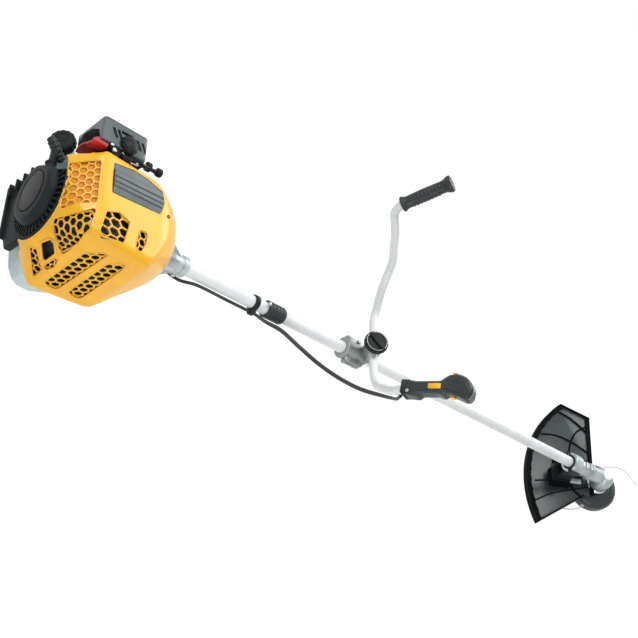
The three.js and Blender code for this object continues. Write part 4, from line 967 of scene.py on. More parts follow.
@dataclass
class EngineCover:
    """The yellow shell over the engine, with its honeycomb fields, vents and panel."""

    wall: float = 3.0
    thin_wall: float = 1.5
    mesh_depth: float = 2.2
    floor_depth: float = 5.0
    # the black duct inside the cover: a fan shroud that also serves as painted shade
    shade_duct_depth: float = 11.0
    shade_duct_start: float = 0.93
    shade_duct_share: float = 0.56
    slant: float = 0.161
    band_edge: float = 19.0
    flutes: tuple[float, ...] = (5.5, -6.0, -16.0)
    skin: Optional[bpy.types.Object] = None
    sections: tuple[tuple[tuple[Vector, ...], float], ...] = (
        (((-132, -88, -88), (-132, -88, 88), (-132, 88, 88), (-132, 88, -88)), 85.0),
        (((-127, -91, -91), (-127, -91, 93), (-127, 86, 93), (-127, 86, -91)), 70.0),
        (((-77, -115, -113), (-92, -112, 119), (-92, 54, 126), (-92, 73, -113)), 14.0),
        (((-68, -118, -114), (-85, -115, 125), (-85, 62, 131), (-85, 72, -114)), 11.0),
        (((-60, -118, -114), (-77, -115, 125), (-77, 64, 129), (-77, 72, -114)), 11.0),
        (((50, -114.5, -114), (38, -114, 112), (30, 72, 114), (38, 72, -113)), 13.0),
        (((62, -114, -112), (52, -113, 110), (50, 75, 112), (50, 72, -112)), 20.0),
        (((76, -104, -100), (70, -105, 110), (69, 84, 110), (68, 76, -98)), 52.0),
        (((100, -92, -78), (100, -92, 98), (100, 84, 98), (100, 84, -78)), 80.0),
        (((125, -68, -61), (125, -68, 71), (125, 64, 71), (125, 64, -61)), 62.0),
        (((137, -46, -44), (137, -46, 45), (137, 43, 45), (137, 43, -44)), 42.0),
        (((139, -42, -41), (139, -42, 42), (139, 40, 42), (139, 40, -41)), 39.0),
    )

    def rows(self, deeper: float = 0.0) -> np.ndarray:
        """Returns the skin as stations x points, shrunk towards the crank axis.

        Each station is a four-cornered outline with rounded corners; its straight sides are
        split evenly, so that station to station the corners line up. A point at distance r from
        the axis moves to r - deeper.

        Args:
            deeper: how far the skin is drawn in.

        Returns:
            Points from the crank axis, stations x points x 3.
        """
        made = []
        for corners, radius in self.sections:
            line = rounded(corners, radius, 8).reshape(4, 9, 3)
            after = np.roll(line, -1, 0)[:, 0]
            t = np.linspace(0.0, 1.0, 7)[1:-1, None]
            straight = line[:, -1][:, None] * (1 - t) + after[:, None] * t
            section = np.concatenate([line, straight], 1).reshape(-1, 3)
            reach = np.linalg.norm(section[:, 1:], axis=1, keepdims=True)
            section[:, 1:] *= 1.0 - deeper / reach
            made.append(section)
        return np.stack(made)

    def build(self) -> None:
        """Makes the shell, its meshes and the pieces set into it."""
        self.skin = self._skin()  # kept only while the fields are laid onto it
        shell = self._shell()
        carve(shell, self._openings())
        finish_off(shell, YELLOW, Body.FRAME, ("engine_cover",), 40.0)
        for spot in FIELDS:
            if spot.pitch > 0.0:
                self._mesh(spot)
            self._lip(spot)
        self._shaded_floor()
        self._shade_duct()
        self._panel()
        self._screw()
        bpy.data.objects.remove(self.skin)

    def _skin(self) -> bpy.types.Object:
        """Makes the smooth outer skin that the fields are laid onto.

        Returns:
            The skin's object.
        """
        skin = bare("cover_skin", Shape.grid(self.rows(), ends=False).placed(ENGINE))
        smooth = skin.modifiers.new("smooth", "SUBSURF")
        smooth.levels = smooth.render_levels = 2
        bake(skin)
        return skin

    def _shell(self) -> bpy.types.Object:
        """Makes the walled shell out of the skin.

        Returns:
            The shell's object.
        """
        shell = self.skin.copy()
        shell.data = self.skin.data.copy()
        shell.name = shell.data.name = "engine_shell"
        show(shell)
        thicken(shell, self.wall)
        bake(shell)
        return shell

    @staticmethod
    def _openings() -> list[Shape]:
        """Returns the shapes cut out of the shell."""
        side = block((-FAR, 54, -FAR), (FAR, 1.1 * FAR, 106), 1.0, 0.5, ENGINE)
        under = block((-66, -106, -FAR), (56, FAR, -60), 1.0, 0.5, ENGINE)
        rear_low = block((-FAR, -80, -FAR), (-60, FAR, -60), 1.0, 0.5, ENGINE)
        bore = lathe([(85.8, -FAR), (85.8, -110)], 96, CRANK)
        nose = lathe([(39.8, 100), (39.8, FAR)], 96, CRANK)
        guide = lathe([(10.8, 20), (10.8, 75)], 32, ENGINE.aimed(Axis.Y, (-133.5, 0, 20)))
        notch = block((112, 42, -24), (142, 60, 3), 4.0, 0.5, ENGINE)
        spots = [slab(spot.outline(), -spot.reach, spot.reach, 0.2, 1, spot.place())
                 for spot in (*FIELDS, PANEL)]
        return [side, under, rear_low, bore, nose, guide, notch, *spots]

    def _onto(self, made: bpy.types.Object, depth: float) -> None:
        """Lays a thin object onto the skin.

        Args:
            made: the object.
            depth: how far below the skin it lies.
        """
        wrap = made.modifiers.new("wrap", "SHRINKWRAP")
        wrap.target = self.skin
        wrap.wrap_method = "NEAREST_SURFACEPOINT"
        wrap.wrap_mode = "ABOVE_SURFACE"
        wrap.offset = -depth * MM

    def _mesh(self, spot: Field) -> None:
        """Fills one field with its honeycomb, laid onto the skin and thickened inwards.

        Args:
            spot: the field.
        """
        comb = honeycomb(np.array(spot.corners) - spot.shift, spot.pitch, spot.wall,
                         np.arange(-MOST_ROWS, MOST_ROWS + 1), spot.squeeze)
        comb.points[:, :2] += spot.shift
        made = bare(f"{spot.name}_mesh", comb.placed(spot.place()))
        self._onto(made, self.mesh_depth)
        thicken(made, self.wall)
        ease = made.modifiers.new("ease", "BEVEL")
        ease.width = 0.5 * MM
        ease.segments = 2
        bake(made)
        finish_off(made, YELLOW)

    def _lip(self, spot: Field) -> None:
        """Runs a rounded lip around an opening.

        Args:
            spot: the field with the opening.
        """
        line = spot.outline(0.5 * spot.lip)
        path = spot.place().world(np.column_stack([line, np.zeros(len(line))]))
        loop = bare("loop", Shape(path, [list(range(len(path)))]))
        laid = np.empty(len(loop.data.vertices) * 3)
        self._onto(loop, 0.3)
        shown = loop.evaluated_get(bpy.context.evaluated_depsgraph_get())
        shown.data.vertices.foreach_get("co", laid)
        bpy.data.objects.remove(loop)
        bead = sweep(laid.reshape(-1, 3) / MM, disc(spot.lip, 10), True)
        piece(f"{spot.name}_lip", bead, YELLOW)

    def _shaded_floor(self) -> None:
        """Closes the upper field with a blind floor, in a darker yellow that is painted shade of
        the recess.
        """
        spot = FIELDS[0]
        u = np.linspace(-52.0, 52.0, 14)
        grid = np.stack([*np.meshgrid(u, u, indexing="ij"), np.zeros((len(u), len(u)))], -1)
        made = bare("blind_floor", Shape.grid(grid, around=False, ends=False).placed(spot.place()))
        self._onto(made, self.floor_depth)
        thicken(made, self.thin_wall)
        bake(made)
        # the floor's darker yellow is painted shade
        finish_off(made, SHADED_YELLOW)

    def _shade_duct(self) -> None:
        """Lines the right and upper walls with the black cooling duct, which also darkens the
        inside of the cover as painted shade.

        It is the skin drawn in to the duct's depth, from the second station to the tenth, over
        a share of the way around, with x squeezed a little towards the middle.
        """
        rows = self.rows(self.shade_duct_depth)[1:10]
        rows[:, :, 0] = rows[:, :, 0] * 0.96 - 3.0
        count = rows.shape[1]
        around = np.roll(np.arange(count), -int(count * self.shade_duct_start))
        kept = rows[:, around[:int(count * self.shade_duct_share)]]
        made = bare("cooling_duct_shade", Shape.grid(kept, around=False, ends=False).placed(ENGINE))
        thicken(made, self.thin_wall)
        bake(made)
        finish_off(made, BLACK)

    def _panel(self) -> None:
        """Makes the grey panel in the top: a dark upper band, a step and long straight flutes.

        Rings shrink from the outline to its middle. The height depends on the distance w across:
        the step adds 3 / (1 + exp(2.2 (w - band))), each flute takes 2 exp(-((w - flute) / 1.3)^2),
        the lower edge falls by 0.22 of what w lies below -12, and the rim rolls down by 1.6.
        """
        corners = PANEL.outline(-0.8)
        loop = np.vstack([corners, corners[:1]])
        run = np.append(0.0, np.cumsum(np.linalg.norm(np.diff(loop, axis=0), axis=1)))
        t = np.linspace(0.0, run[-1], 320, endpoint=False)
        line = np.stack([np.interp(t, run, values) for values in loop.T], 1)
        u = np.linspace(0.0, 1.0, 64)[:, None, None]
        rings = line.mean(0) + (line - line.mean(0)) * (1.0 - u * 0.999)
        w = rings[..., 1] - self.slant * rings[..., 0]
        step = 1.0 / (1.0 + np.exp((w - self.band_edge) * 2.2))
        flutes = sum(np.exp(-(((w - at) / 1.3) ** 2)) for at in self.flutes)
        fall = np.clip(-12.0 - w, 0.0, None)
        rim = 1.6 * (1.0 - np.minimum(u[..., 0] * 30.0, 1.0) ** 0.5)
        z = 3.0 * step - 2.0 * flutes - 0.22 * fall - rim - 1.4
        rows = np.concatenate([rings, z[..., None]], -1)
        made = bare("top_panel", Shape.grid(rows[::-1], ends=False).placed(PANEL.place()))
        thicken(made, self.wall)
        bake(made)
        finish_off(made, SLATE, Body.FRAME, ("cover_panel",))

    @staticmethod
    def _screw() -> None:
        """Makes the cover's dark screw with its hollow head."""
        screw = lathe([(0, 0), (3.6, 0), (3.6, 2.2), (2.6, 2.4), (2.4, 0.8), (0, 0.8)], 24,
                      Place((75.5, 7.2, 262.0), (0.93, 0, -0.36), (0, 1, 0), (0.36, 0.1, 0.93)))
        piece("cover_screw", screw, BLACK)


LOW_SEAT = ((-96.0, -105.0, -20.0), (0.0, 0.0, 1.0), (-0.459, -0.888, -0.019))
FIELDS = (
    Field("blind_field", (-108.0, -18.0, 99.0), (0.0, -1.0, 0.0), (-0.80, -0.03, 0.60),
          ((-44, -37), (47, -32), (36, 33), (-54, 31)), pitch=15.5, reach=22.0),
    Field("open_field", (-103.0, -90.0, 72.0), (0.55, -0.5, 0.6), (-0.72, -0.62, 0.25),
          ((-31, 2), (-13, -48), (-5, -58), (19, -28), (45, 21), (31, 50)), pitch=14.5,
          squeeze=1.05, reach=22.0),
    Field("low_field", *LOW_SEAT, ((-62, -22), (-26, -19), (-19, -8), (2, 18), (-9, 27)),
          corner_radius=3.0, pitch=15.0, reach=14.0),
    Field("edge_field", *LOW_SEAT, ((-22, -23), (-2, -29), (24, -21), (20, -15), (-16, -15)),
          corner_radius=3.0, pitch=15.0, shift=(4.0, -16.0)),
    Field("port", *LOW_SEAT, ((-12, -10), (31, -8), (55, 16), (22, 22)), reach=14.0, lip=2.6),
    Field("top_field", (-42.0, -80.0, 122.0), (0.0, 1.0, 0.0), (0.104, -0.042, 0.994),
          ((-28, 32), (-35, 22), (-24, -23), (25, -31), (31, -4), (18, 24)), pitch=18.0,
          squeeze=1.35, shift=(7.0, -1.0)),
    Field("small_field", (21.0, -78.0, 115.0), (0.0, -1.0, 0.0), (0.13, -0.02, 0.99),
          ((-20, -9), (20, -14), (25, 0), (0, 10), (-24, 11)), corner_radius=6.0, pitch=16.5,
          squeeze=0.91, shift=(1.5, 2.0)),
    Field("rear_vent", (-40.0, -116.0, -3.0), (0.0, 0.0, 1.0), (0.009, -1.0, 0.013),
          ((-86, -17), (84, -16), (84, -8), (60, 18), (-76, 15)), corner_radius=10.0, pitch=18.3,
          squeeze=0.95, shift=(2.5, -6.0), wall=4.0),
    Field("front_vent", (8.0, -115.0, -4.0), (0.0, 0.0, 1.0), (0.02, -1.0, 0.006),
          ((-84, -20), (60, -15), (86, -8), (58, 16), (-73, 12)), corner_radius=10.0, pitch=18.3,
          squeeze=0.95, shift=(5.3, -7.0), wall=4.0),
)
PANEL = Field("panel", (-2.0, 20.0, 120.0), (1.0, 0.0, -0.144), (0.144, -0.005, 0.99),
              ((-59, -39), (59, -20), (65, 11), (58, 31), (22, 37), (-17, 36), (-65, 23)),
              corner_radius=3.0)


# --------------------------------------------------------------------- engine's rear


@dataclass
class RecoilStarter:
    """The dark recoil housing with its ribbed ring, badge, rope guide and pull handle."""

    outer: float = 85.3
    groove: tuple[float, float] = (64.0, 80.5)
    ribs: int = 44
    flat_turn: float = 26.6
    flat_reach: float = 50.0
    rope_x: float = -133.5
    rope_height: float = 176.0
    rope_radius: float = 2.2

    def build(self) -> None:
        """Makes the housing, the badge and the handle."""
        self._housing()
        self._badge()
        self._handle()

    def _housing(self) -> None:
        """Makes the bowl, its ribbed ring, the skirt behind the tank and the rope guide."""
        low, high = self.groove
        bowl = lathe([(41, -150.4), (42.5, -152), (51, -152.4), (55, -151), (60, -147.5),
                      (low - 1, -141), (low, -137), (low + 0.5, -130.5), (high, -128),
                      (high + 0.6, -133.4), (self.outer - 2, -134), (self.outer, -131.5),
                      (self.outer, -104.5), (self.outer - 3, -104.5), (self.outer - 3, -124),
                      (62, -126), (57, -140), (41, -144)], 120, CRANK, closed=True)
        made = bare("recoil_bowl", bowl)
        c, s = math.cos(math.radians(self.flat_turn)), math.sin(math.radians(self.flat_turn))
        beyond = Place(ENGINE.origin, (0, c, s), (0, -s, c), (1, 0, 0))
        room = block((self.flat_reach, -FAR, -FAR), (FAR, FAR, FAR), 1.0, 0.5, beyond)
        carve(made, [room])
        finish_off(made, GREY, Body.FRAME, ("recoil_housing",))
        rib = block((low - 1, -1.5, -137.4), (high + 1.2, 1.5, -129), 0.6, 0.6)
        angles = np.arange(self.ribs) * 360.0 / self.ribs
        kept = angles[np.abs((angles - self.flat_turn + 180) % 360 - 180) > 54.0]
        piece("recoil_ribs", rib.spun(kept).placed(CRANK), GREY)
        wall = slab(np.array(((47.0, -70.0), (49.6, -70.0), (49.6, 70.0), (47.0, 70.0))),
                    -138, -104.5, 0.5, place=beyond)
        skirt = slab(rounded([(-69, -40), (-69, -108), (-36, -122), (74, -122), (74, -28), (50, 4),
                              (-40, 0)], 10.0), -133, -118, 4.0, place=CRANK)
        fins = [block((52, z - 2.6, -143), (77, z + 2.6, -124), 2.0, 1.6, CRANK)
                for z in (-34.0, -60.0, -86.0, -110.0)]
        sill = block((-40, -124, -140), (76, -117, -120), 3.0, 2.5, CRANK)
        tube = lathe([(4.4, -16), (9.5, -16), (9.5, 16), (11, 17), (11, 20), (8.5, 20.5),
                      (4.4, 19)], 40,
                     ENGINE.aimed(Axis.Y, (self.rope_x, 42.0, self.rope_height - AXIS_HEIGHT)),
                     closed=True)
        piece("recoil_skirt", Shape.join(wall, skirt, sill, *fins, tube), GREY)
        hub = lathe([(0, -146.5), (41.5, -146.5), (41.5, -142), (0, -142)], 64, CRANK)
        piece("recoil_hub", hub, BLACK)

    @staticmethod
    def _badge() -> None:
        """Makes the plain glossy badge: a domed disc with a fine raised ring."""
        face = lathe([(0, -153.6), (24, -153.4), (34.6, -152.8), (35, -153.4), (36.4, -153.4),
                      (36.8, -152.7), (39.4, -152.3), (40, -151.6), (40, -147), (0, -147)], 96,
                     CRANK)
        piece("badge_disc", face, BADGE, Body.FRAME, ("starter_badge",))

    def _handle(self) -> None:
        """Makes the ribbed T grip and its stem, and the rope behind it.

        The grip's middle line is centre + 26 t aim + 3 t t bow for t from -1 to 1; its radius
        swells by a tenth with tanh(3 sin(6 pi t)) and closes at both ends as sqrt(1 - |t|^9).
        The stem runs straight and widens by 3.4 s s.
        """
        t = np.linspace(-1.0, 1.0, 97)
        centre, aim = np.array((self.rope_x, 87.0, 188.0)), np.array((0.708, -0.684, -0.174))
        bow = np.array((-0.10, 0.12, -0.98))
        path = centre + 26.0 * t[:, None] * aim + 3.0 * (t[:, None] ** 2) * bow
        ribs = 1.0 + 0.10 * np.tanh(3.0 * np.sin(t * 6.0 * np.pi))
        ends = np.sqrt(np.clip(1.0 - np.abs(t) ** 9, 0.004, 1.0))
        grip = sweep(path, disc(1.0, 28) * (9.4, 8.6), scale=ribs * ends)
        s = np.linspace(0.0, 1.0, 25)
        foot = np.array((self.rope_x, 62.6, self.rope_height))
        stem = sweep(foot + s[:, None] * np.array((0.0, 23.0, 11.0)),
                     disc(1.0, 24) * (1.0, 1.15), scale=6.4 + 3.4 * s ** 2)
        piece("pull_grip", Shape.join(grip, stem), RUBBER, Body.STARTER, ("starter_handle",))
        self._rope()

    def _rope(self) -> None:
        """Runs the rope from the pulley through its eye to the grip."""
        x, z = self.rope_x, self.rope_height
        wound = smooth_path([(x, 18.5, 188.5), (x, 30, 181), (x, 38, z + 0.2), (x, 46, z),
                             (x, 58, z)], 6)
        drawn = np.column_stack([np.full(60, x), np.linspace(58.1, 65.6, 60), np.full(60, z)])
        rope = sweep(np.vstack([wound, drawn]), disc(self.rope_radius, 14))
        made = piece("pull_rope", rope, ROPE, None, ("starter_rope",))
        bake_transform(made)


@dataclass
class FuelTank:
    """The milky tank under the engine, its filler neck and the knurled cap."""

    bottom: float = -150.0
    top: float = -78.0
    cap_base: Vector = (-104.3, 131.0, -0.35)
    knurls: int = 14

    def build(self) -> None:
        """Makes the tank and the cap."""
        low = slab(rounded([(-108, -20), (-100, -75), (-88, -98), (-72, -106), (-48, -106),
                            (64, -70), (64, 140), (-108, 140)], 20.0), self.bottom, self.top,
                   11.0, 6, ENGINE)
        riser = slab(rounded([(-98, -80), (-98, -34), (-60, -34), (-34, -46), (4, -86), (-18, -108),
                              (-52, -84)], 7.0), 100.0, 140.0, 6.0, 4, SIDE)
        slope = math.sqrt(0.5)
        seat = ENGINE.moved(self.cap_base, (slope, 0, slope), (0, 1, 0), (-slope, 0, slope))
        neck = lathe([(0, -26), (18, -26), (18, -3), (21, -2.6), (21, -0.6), (0, -0.6)], 48, seat)
        piece("tank_body", Shape.join(low, riser, neck), TANK, Body.FRAME, ("fuel_tank",))
        cap = knurled([(0, 0.3), (24, 0.3), (26, 1.5), (26, 14.5), (24.5, 17), (20, 19.4), (15, 20),
                       (14, 18.8), (3, 18.6), (0, 18.6)], 168, self.knurls, 0.035, 20.0, 4.0)
        piece("tank_cap_body", cap.placed(seat), GREY, Body.TANK_CAP, ("fuel_cap",))


@dataclass
class AirBox:
    """The air filter box with its slotted cover and knob, the choke and the linkage."""

    rear: float = -95.0
    front: float = 4.0
    inner: float = 86.3
    outer: float = 142.0
    low: float = 30.0
    top: float = 122.0
    slot_depth: float = 7.0
    slots: tuple[float, ...] = (-78.0, -67.0, -25.0, -13.0)
    knob_seat: Vector = (-40.0, 98.0, 0.0)

    def build(self) -> None:
        """Makes the cover, the base, the knob and the small parts under them."""
        self._cover()
        self._base()
        self._knob()
        self._choke()
        self._linkage()

    def _cover(self) -> None:
        """Makes the slotted cover, near-black sheets at the floors of its slots as painted shade,
        and the core behind its side.
        """
        made = bare("filter_lid", slab(rounded([
            (self.low, self.rear), (self.low, self.front - 10), (self.low + 12, self.front),
            (self.top, self.front), (self.top, self.rear)], 8.0),
            self.inner, self.outer, 4.5, 5, SIDE))
        slots = self._slots(self.top - self.slot_depth, self.top + 9, 0.3)
        hollow = slab(rounded([(70, 20), (114, 20), (124, 44), (134, 52), (131, 80), (116, 106),
                               (92, 114), (70, 114)], 4.0), -120, -78, 0.4, 2, CRANK)
        seam = block((-94, 137.4, self.top - 1.0), (4, 139, self.top + 4), 0.6, 0.2, ENGINE)
        carve(made, [*slots, hollow, seam])
        finish_off(made, SLATE, Body.FRAME, ("air_filter_cover",))
        core = block((-79, 87, 58), (-74, 137, 116), 4.0, 0.6, ENGINE)
        piece("filter_core", core, BLACK)
        # near-black sheets at the slots' floors: painted shade of the deep slots
        floor = self.top - self.slot_depth
        piece("slot_floor_shade", Shape.join(*self._slots(floor - 0.2, floor + 0.8, 0.2)), PITCH)

    def _base(self) -> None:
        """Makes the base plate with the air inlet through it."""
        made = bare("filter_base", slab(rounded([
            (self.low, self.rear), (self.low, self.front), (self.top - 3, self.front),
            (self.top - 3, self.rear)], 6.0), 81.0, 86.0, 1.2, 3, SIDE))
        inlet = lathe([(0, 70), (12.5, 70), (12.5, 95), (0, 95)], 40,
                      ENGINE.aimed(Axis.Y, (-73, 0, 43)))
        carve(made, [inlet])
        finish_off(made, BLACK, Body.FRAME, ("air_filter_base",))

    def _knob(self) -> None:
        """Makes the cover's knob with its twelve grips."""
        cap = lathe([(0, 122.4), (16, 122.4), (17.5, 124), (17.6, 128), (14.5, 134), (8, 137.4),
                     (0, 138)], 48)
        grips = block((13.5, -1.6, 123), (18.6, 1.6, 131), 1.2, 1.0).spun(np.arange(12) * 30.0)
        knob = Shape.join(cap, grips).placed(ENGINE.moved(self.knob_seat))
        piece("filter_knob_body", knob, BLACK, Body.FILTER_SCREW, ("filter_knob",))

    def _slots(self, low: float, high: float, ease: float) -> list[Shape]:
        """Makes the shapes of the cover's slots: four slanted ones and a straight one.

        Args:
            low: their lower end.
            high: their upper end.
            ease: radius of the straight one's rims.

        Returns:
            The five shapes.
        """
        slanted = np.array(((0.0, 122.5), (6.6, 124.4), (16.6, 104.4), (10.0, 102.5)))
        made = [slab(slanted + (x, 0.0), low, high, 0.2, 2, ENGINE) for x in self.slots]
        return [*made, block((-57, 119.5, low), (-30, 126, high), 1.8, ease, ENGINE)]

    @staticmethod
    def _choke() -> None:
        """Makes the red choke lever, a hub and a ribbed blade, and the red part beside it."""
        blade = slab(rounded([(62, -112), (60, -88), (84, -82), (90, -86), (99, -102), (102, -112),
                              (88, -116), (76, -116)], 4.0), 77.2, 80.2, 1.0, 3, SIDE)
        edge = slab(rounded([(84, -97), (88, -97), (84, -114), (80, -114)], 1.5), 77.0, 80.6, 1.0,
                    3, SIDE)
        hub = lathe([(0, 77.1), (6, 77.1), (7, 78), (7, 80.4), (0, 80.4)], 32,
                    ENGINE.aimed(Axis.Y, (-90, 0, 78)))
        piece("choke_blade", Shape.join(blade, edge, hub), RED, Body.CHOKE, ("choke_lever",))
        body = slab(rounded([(112, -112), (112, -78), (121, -80), (122, -106)], 3.0), 74.0, 82.0,
                    2.0, 3, SIDE)
        ridge = slab(rounded([(113, -108), (113, -102), (121, -98), (121, -104)], 1.2), 81.0, 85.5,
                     1.0, 3, SIDE)
        plate = slab(rounded([(97, -113), (97, -90), (104, -82), (114, -80), (114, -113)], 3.0),
                     73.6, 76.4, 1.0, 3, SIDE)
        piece("choke_housing", Shape.join(body, ridge, plate), RED)

    @staticmethod
    def _linkage() -> None:
        """Makes the rods, screws, bracket and adjuster between the carburettor and the box."""
        rod = sweep(ENGINE.world(smooth_path([(-76, 78, 119), (-70, 81, 118.5),
                                              (-53, 78, 117), (-39, 77, 116), (-26, 78, 115),
                                              (0, 84, 110), (24, 92, 104), (38, 95, 101)], 6)),
                    disc(1.0, 16) * (3.4, 4.6))
        post = lathe([(0, 84), (8, 84), (8, 100), (5, 104), (5, 118), (3, 119.5), (0, 119.5)], 32,
                     ENGINE.moved((-58.0, 72.0, 0.0)))
        drum = lathe([(0, -9), (8.5, -9), (10, -7), (10, 7), (8.5, 9), (0, 9)], 32,
                     ENGINE.aimed(Axis.X, (-36, 76, 112)))
        ring = lathe([(4, -5), (8.6, -5), (9.4, -4), (9.4, 4), (8.6, 5), (4, 5)], 32,
                     ENGINE.aimed(Axis.X, (22, 97, 101)), closed=True)
        piece("linkage_rod", Shape.join(rod, post, drum, ring), BLACK)
        screws = [lathe([(0, -3), (r, -3), (r, 1), (r * 0.7, 2.2), (0, 2.6)], 20,
                        ENGINE.moved((x, y, z)))
                  for x, y, z, r in ((-71, 85, 120, 4.2), (-65, 77, 120.5, 5.0),
                                     (-46, 80, 119, 3.2), (-12, 80, 114, 3.4),
                                     (10, 90, 108, 3.0))]
        plate = slab(rounded([(-30, 72), (-8, 76), (4, 92), (-6, 96), (-22, 84)], 3.0), 110, 113.5,
                     0.8, 2, ENGINE)
        piece("linkage_screws", Shape.join(*screws, plate), STEEL)
        knob = lathe([(0, 38), (3, 38), (3, 41), (7.5, 42), (8.6, 43.5), (8.6, 52), (7, 53.6),
                      (0, 54)], 32, ENGINE.aimed(Axis.X, (0, 98, 100)))
        piece("adjuster_knob", knob, BLACK)


@dataclass
class ClutchNose:
    """The cast cone between engine and shaft, with webs and a clamp band at its nose."""

    webs: int = 8

    def build(self) -> None:
        """Makes the cone with its webs, and the lug and screw that clamp the shaft."""
        cone = lathe([(34, 58), (38, 58), (38, 138), (38.6, 139.5), (38.6, 144), (34, 147.5),
                      (30, 150), (24, 162), (20.6, 170), (19.5, 178), (19.5, 186), (22, 188),
                      (22, 199), (21, 200), (14.3, 200), (14.3, 150), (28, 140), (34, 120)], 72,
                     CRANK, closed=True)
        web = slab(rounded([(18, 180), (37, 150), (37, 143), (18, 143)], 2.0), -1.6, 1.6, 0.8, 2,
                   Place(y=(0, 0, 1), z=(0, -1, 0)))
        webs = web.spun(np.arange(self.webs) * 360.0 / self.webs + 22.5).placed(CRANK)
        lug = block((-7, -32, 188), (7, -18, 199), 3.0, 1.2, CRANK)
        screw = lathe([(0, -11), (4.2, -11), (4.2, -7), (2.6, -6.6), (2.6, 10), (0, 10)], 20,
                      ENGINE.aimed(Axis.Y, (193.5, 0, -26)))
        piece("clutch_cone", Shape.join(cone, webs, lug), CAST, Body.FRAME, ("clutch_housing",))
        piece("clutch_screw", screw, STEEL)


# ------------------------------------------------------------------ shaft and handlebar


@dataclass
class ShaftFittings:
    """Clip, hanger collar and throttle cable along the shaft.

    The clip and the collar stand at their distances from the engine along the shaft.
    """

    tube_radius: float = 14.0
    clip: float = 386.0
    collar: float = 441.0
    ring_pitch: float = 9.6
    rings: int = 5
    cable_radius: float = 3.5

    def build(self) -> None:
        """Makes the fittings."""
        r = self.tube_radius
        band = lathe([(r + 0.2, self.clip - 6), (r + 2.8, self.clip - 6), (r + 3.4, self.clip - 5),
                      (r + 3.4, self.clip + 5), (r + 2.8, self.clip + 6), (r + 0.2, self.clip + 6)],
                     48, CRANK, closed=True)
        lug = block((-25, -15, self.clip - 6), (-13, 2, self.clip + 6), 4.0, 1.0, CRANK)
        piece("clip_band", Shape.join(band, lug), BLACK, Body.FRAME, ("cable_clip",))
        start = self.collar - 24.0
        line = [(r + 0.2, start)]
        for x in start + self.ring_pitch * np.arange(self.rings):
            line += [(r + 4.4, x), (r + 5.2, x + 0.8), (r + 5.2, x + 6.0), (r + 4.4, x + 6.8),
                     (r + 3.6, x + 7.4), (r + 3.6, x + 9.2)]
        line += [(r + 3.6, self.collar + 24), (r + 0.2, self.collar + 24)]
        piece("collar_sleeve", lathe(line, 56, CRANK, closed=True), RUBBER, Body.FRAME,
              ("hanger_collar",))
        eye = block((-4, 17, self.collar - 30), (4, 25, self.collar - 26), 3.0, 1.0, CRANK)
        piece("collar_eye", eye, STEEL)
        self._cable()

    def _cable(self) -> None:
        """Runs the throttle cable from the carburettor to the grip.

        Where it hangs free below the grip it swells by up to 0.3, as its loose cover does.
        """
        h, side, drop = AXIS_HEIGHT, -(self.tube_radius + self.cable_radius + 1.0), -9.0
        route = [(30, 65.3, h + 90), (62, 72, h + 70), (104, 64, h + 22), (140, 44, h - 24),
                 (172, 14, h - 42), (206, -12, h - 28), (240, side, h + drop),
                 (320, side, h + drop), (386, side, h + drop), (398, side - 0.4, h + drop),
                 (424, -27, h - 5), (460, -38, h + 6), (507, -60, h + 12), (548, -95, h + 34),
                 (576, -130, h + 68), (590, -165, h + 114), (595, -196, h + 168),
                 (592, -214, h + 200), (582, -226, h + 221), (573, -229, h + 239)]
        path = smooth_path(route, 10)
        free = np.clip((path[:, 0] - 400.0) / 50.0, 0.0, 1.0)
        near_grip = np.clip((360.0 - path[:, 2]) / 60.0, 0.0, 1.0)
        cable = sweep(path, disc(self.cable_radius, 14), scale=1.0 + 0.3 * free * near_grip)
        made = piece("cable_sheath", cable, RUBBER, None, ("throttle_cable",))
        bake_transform(made)


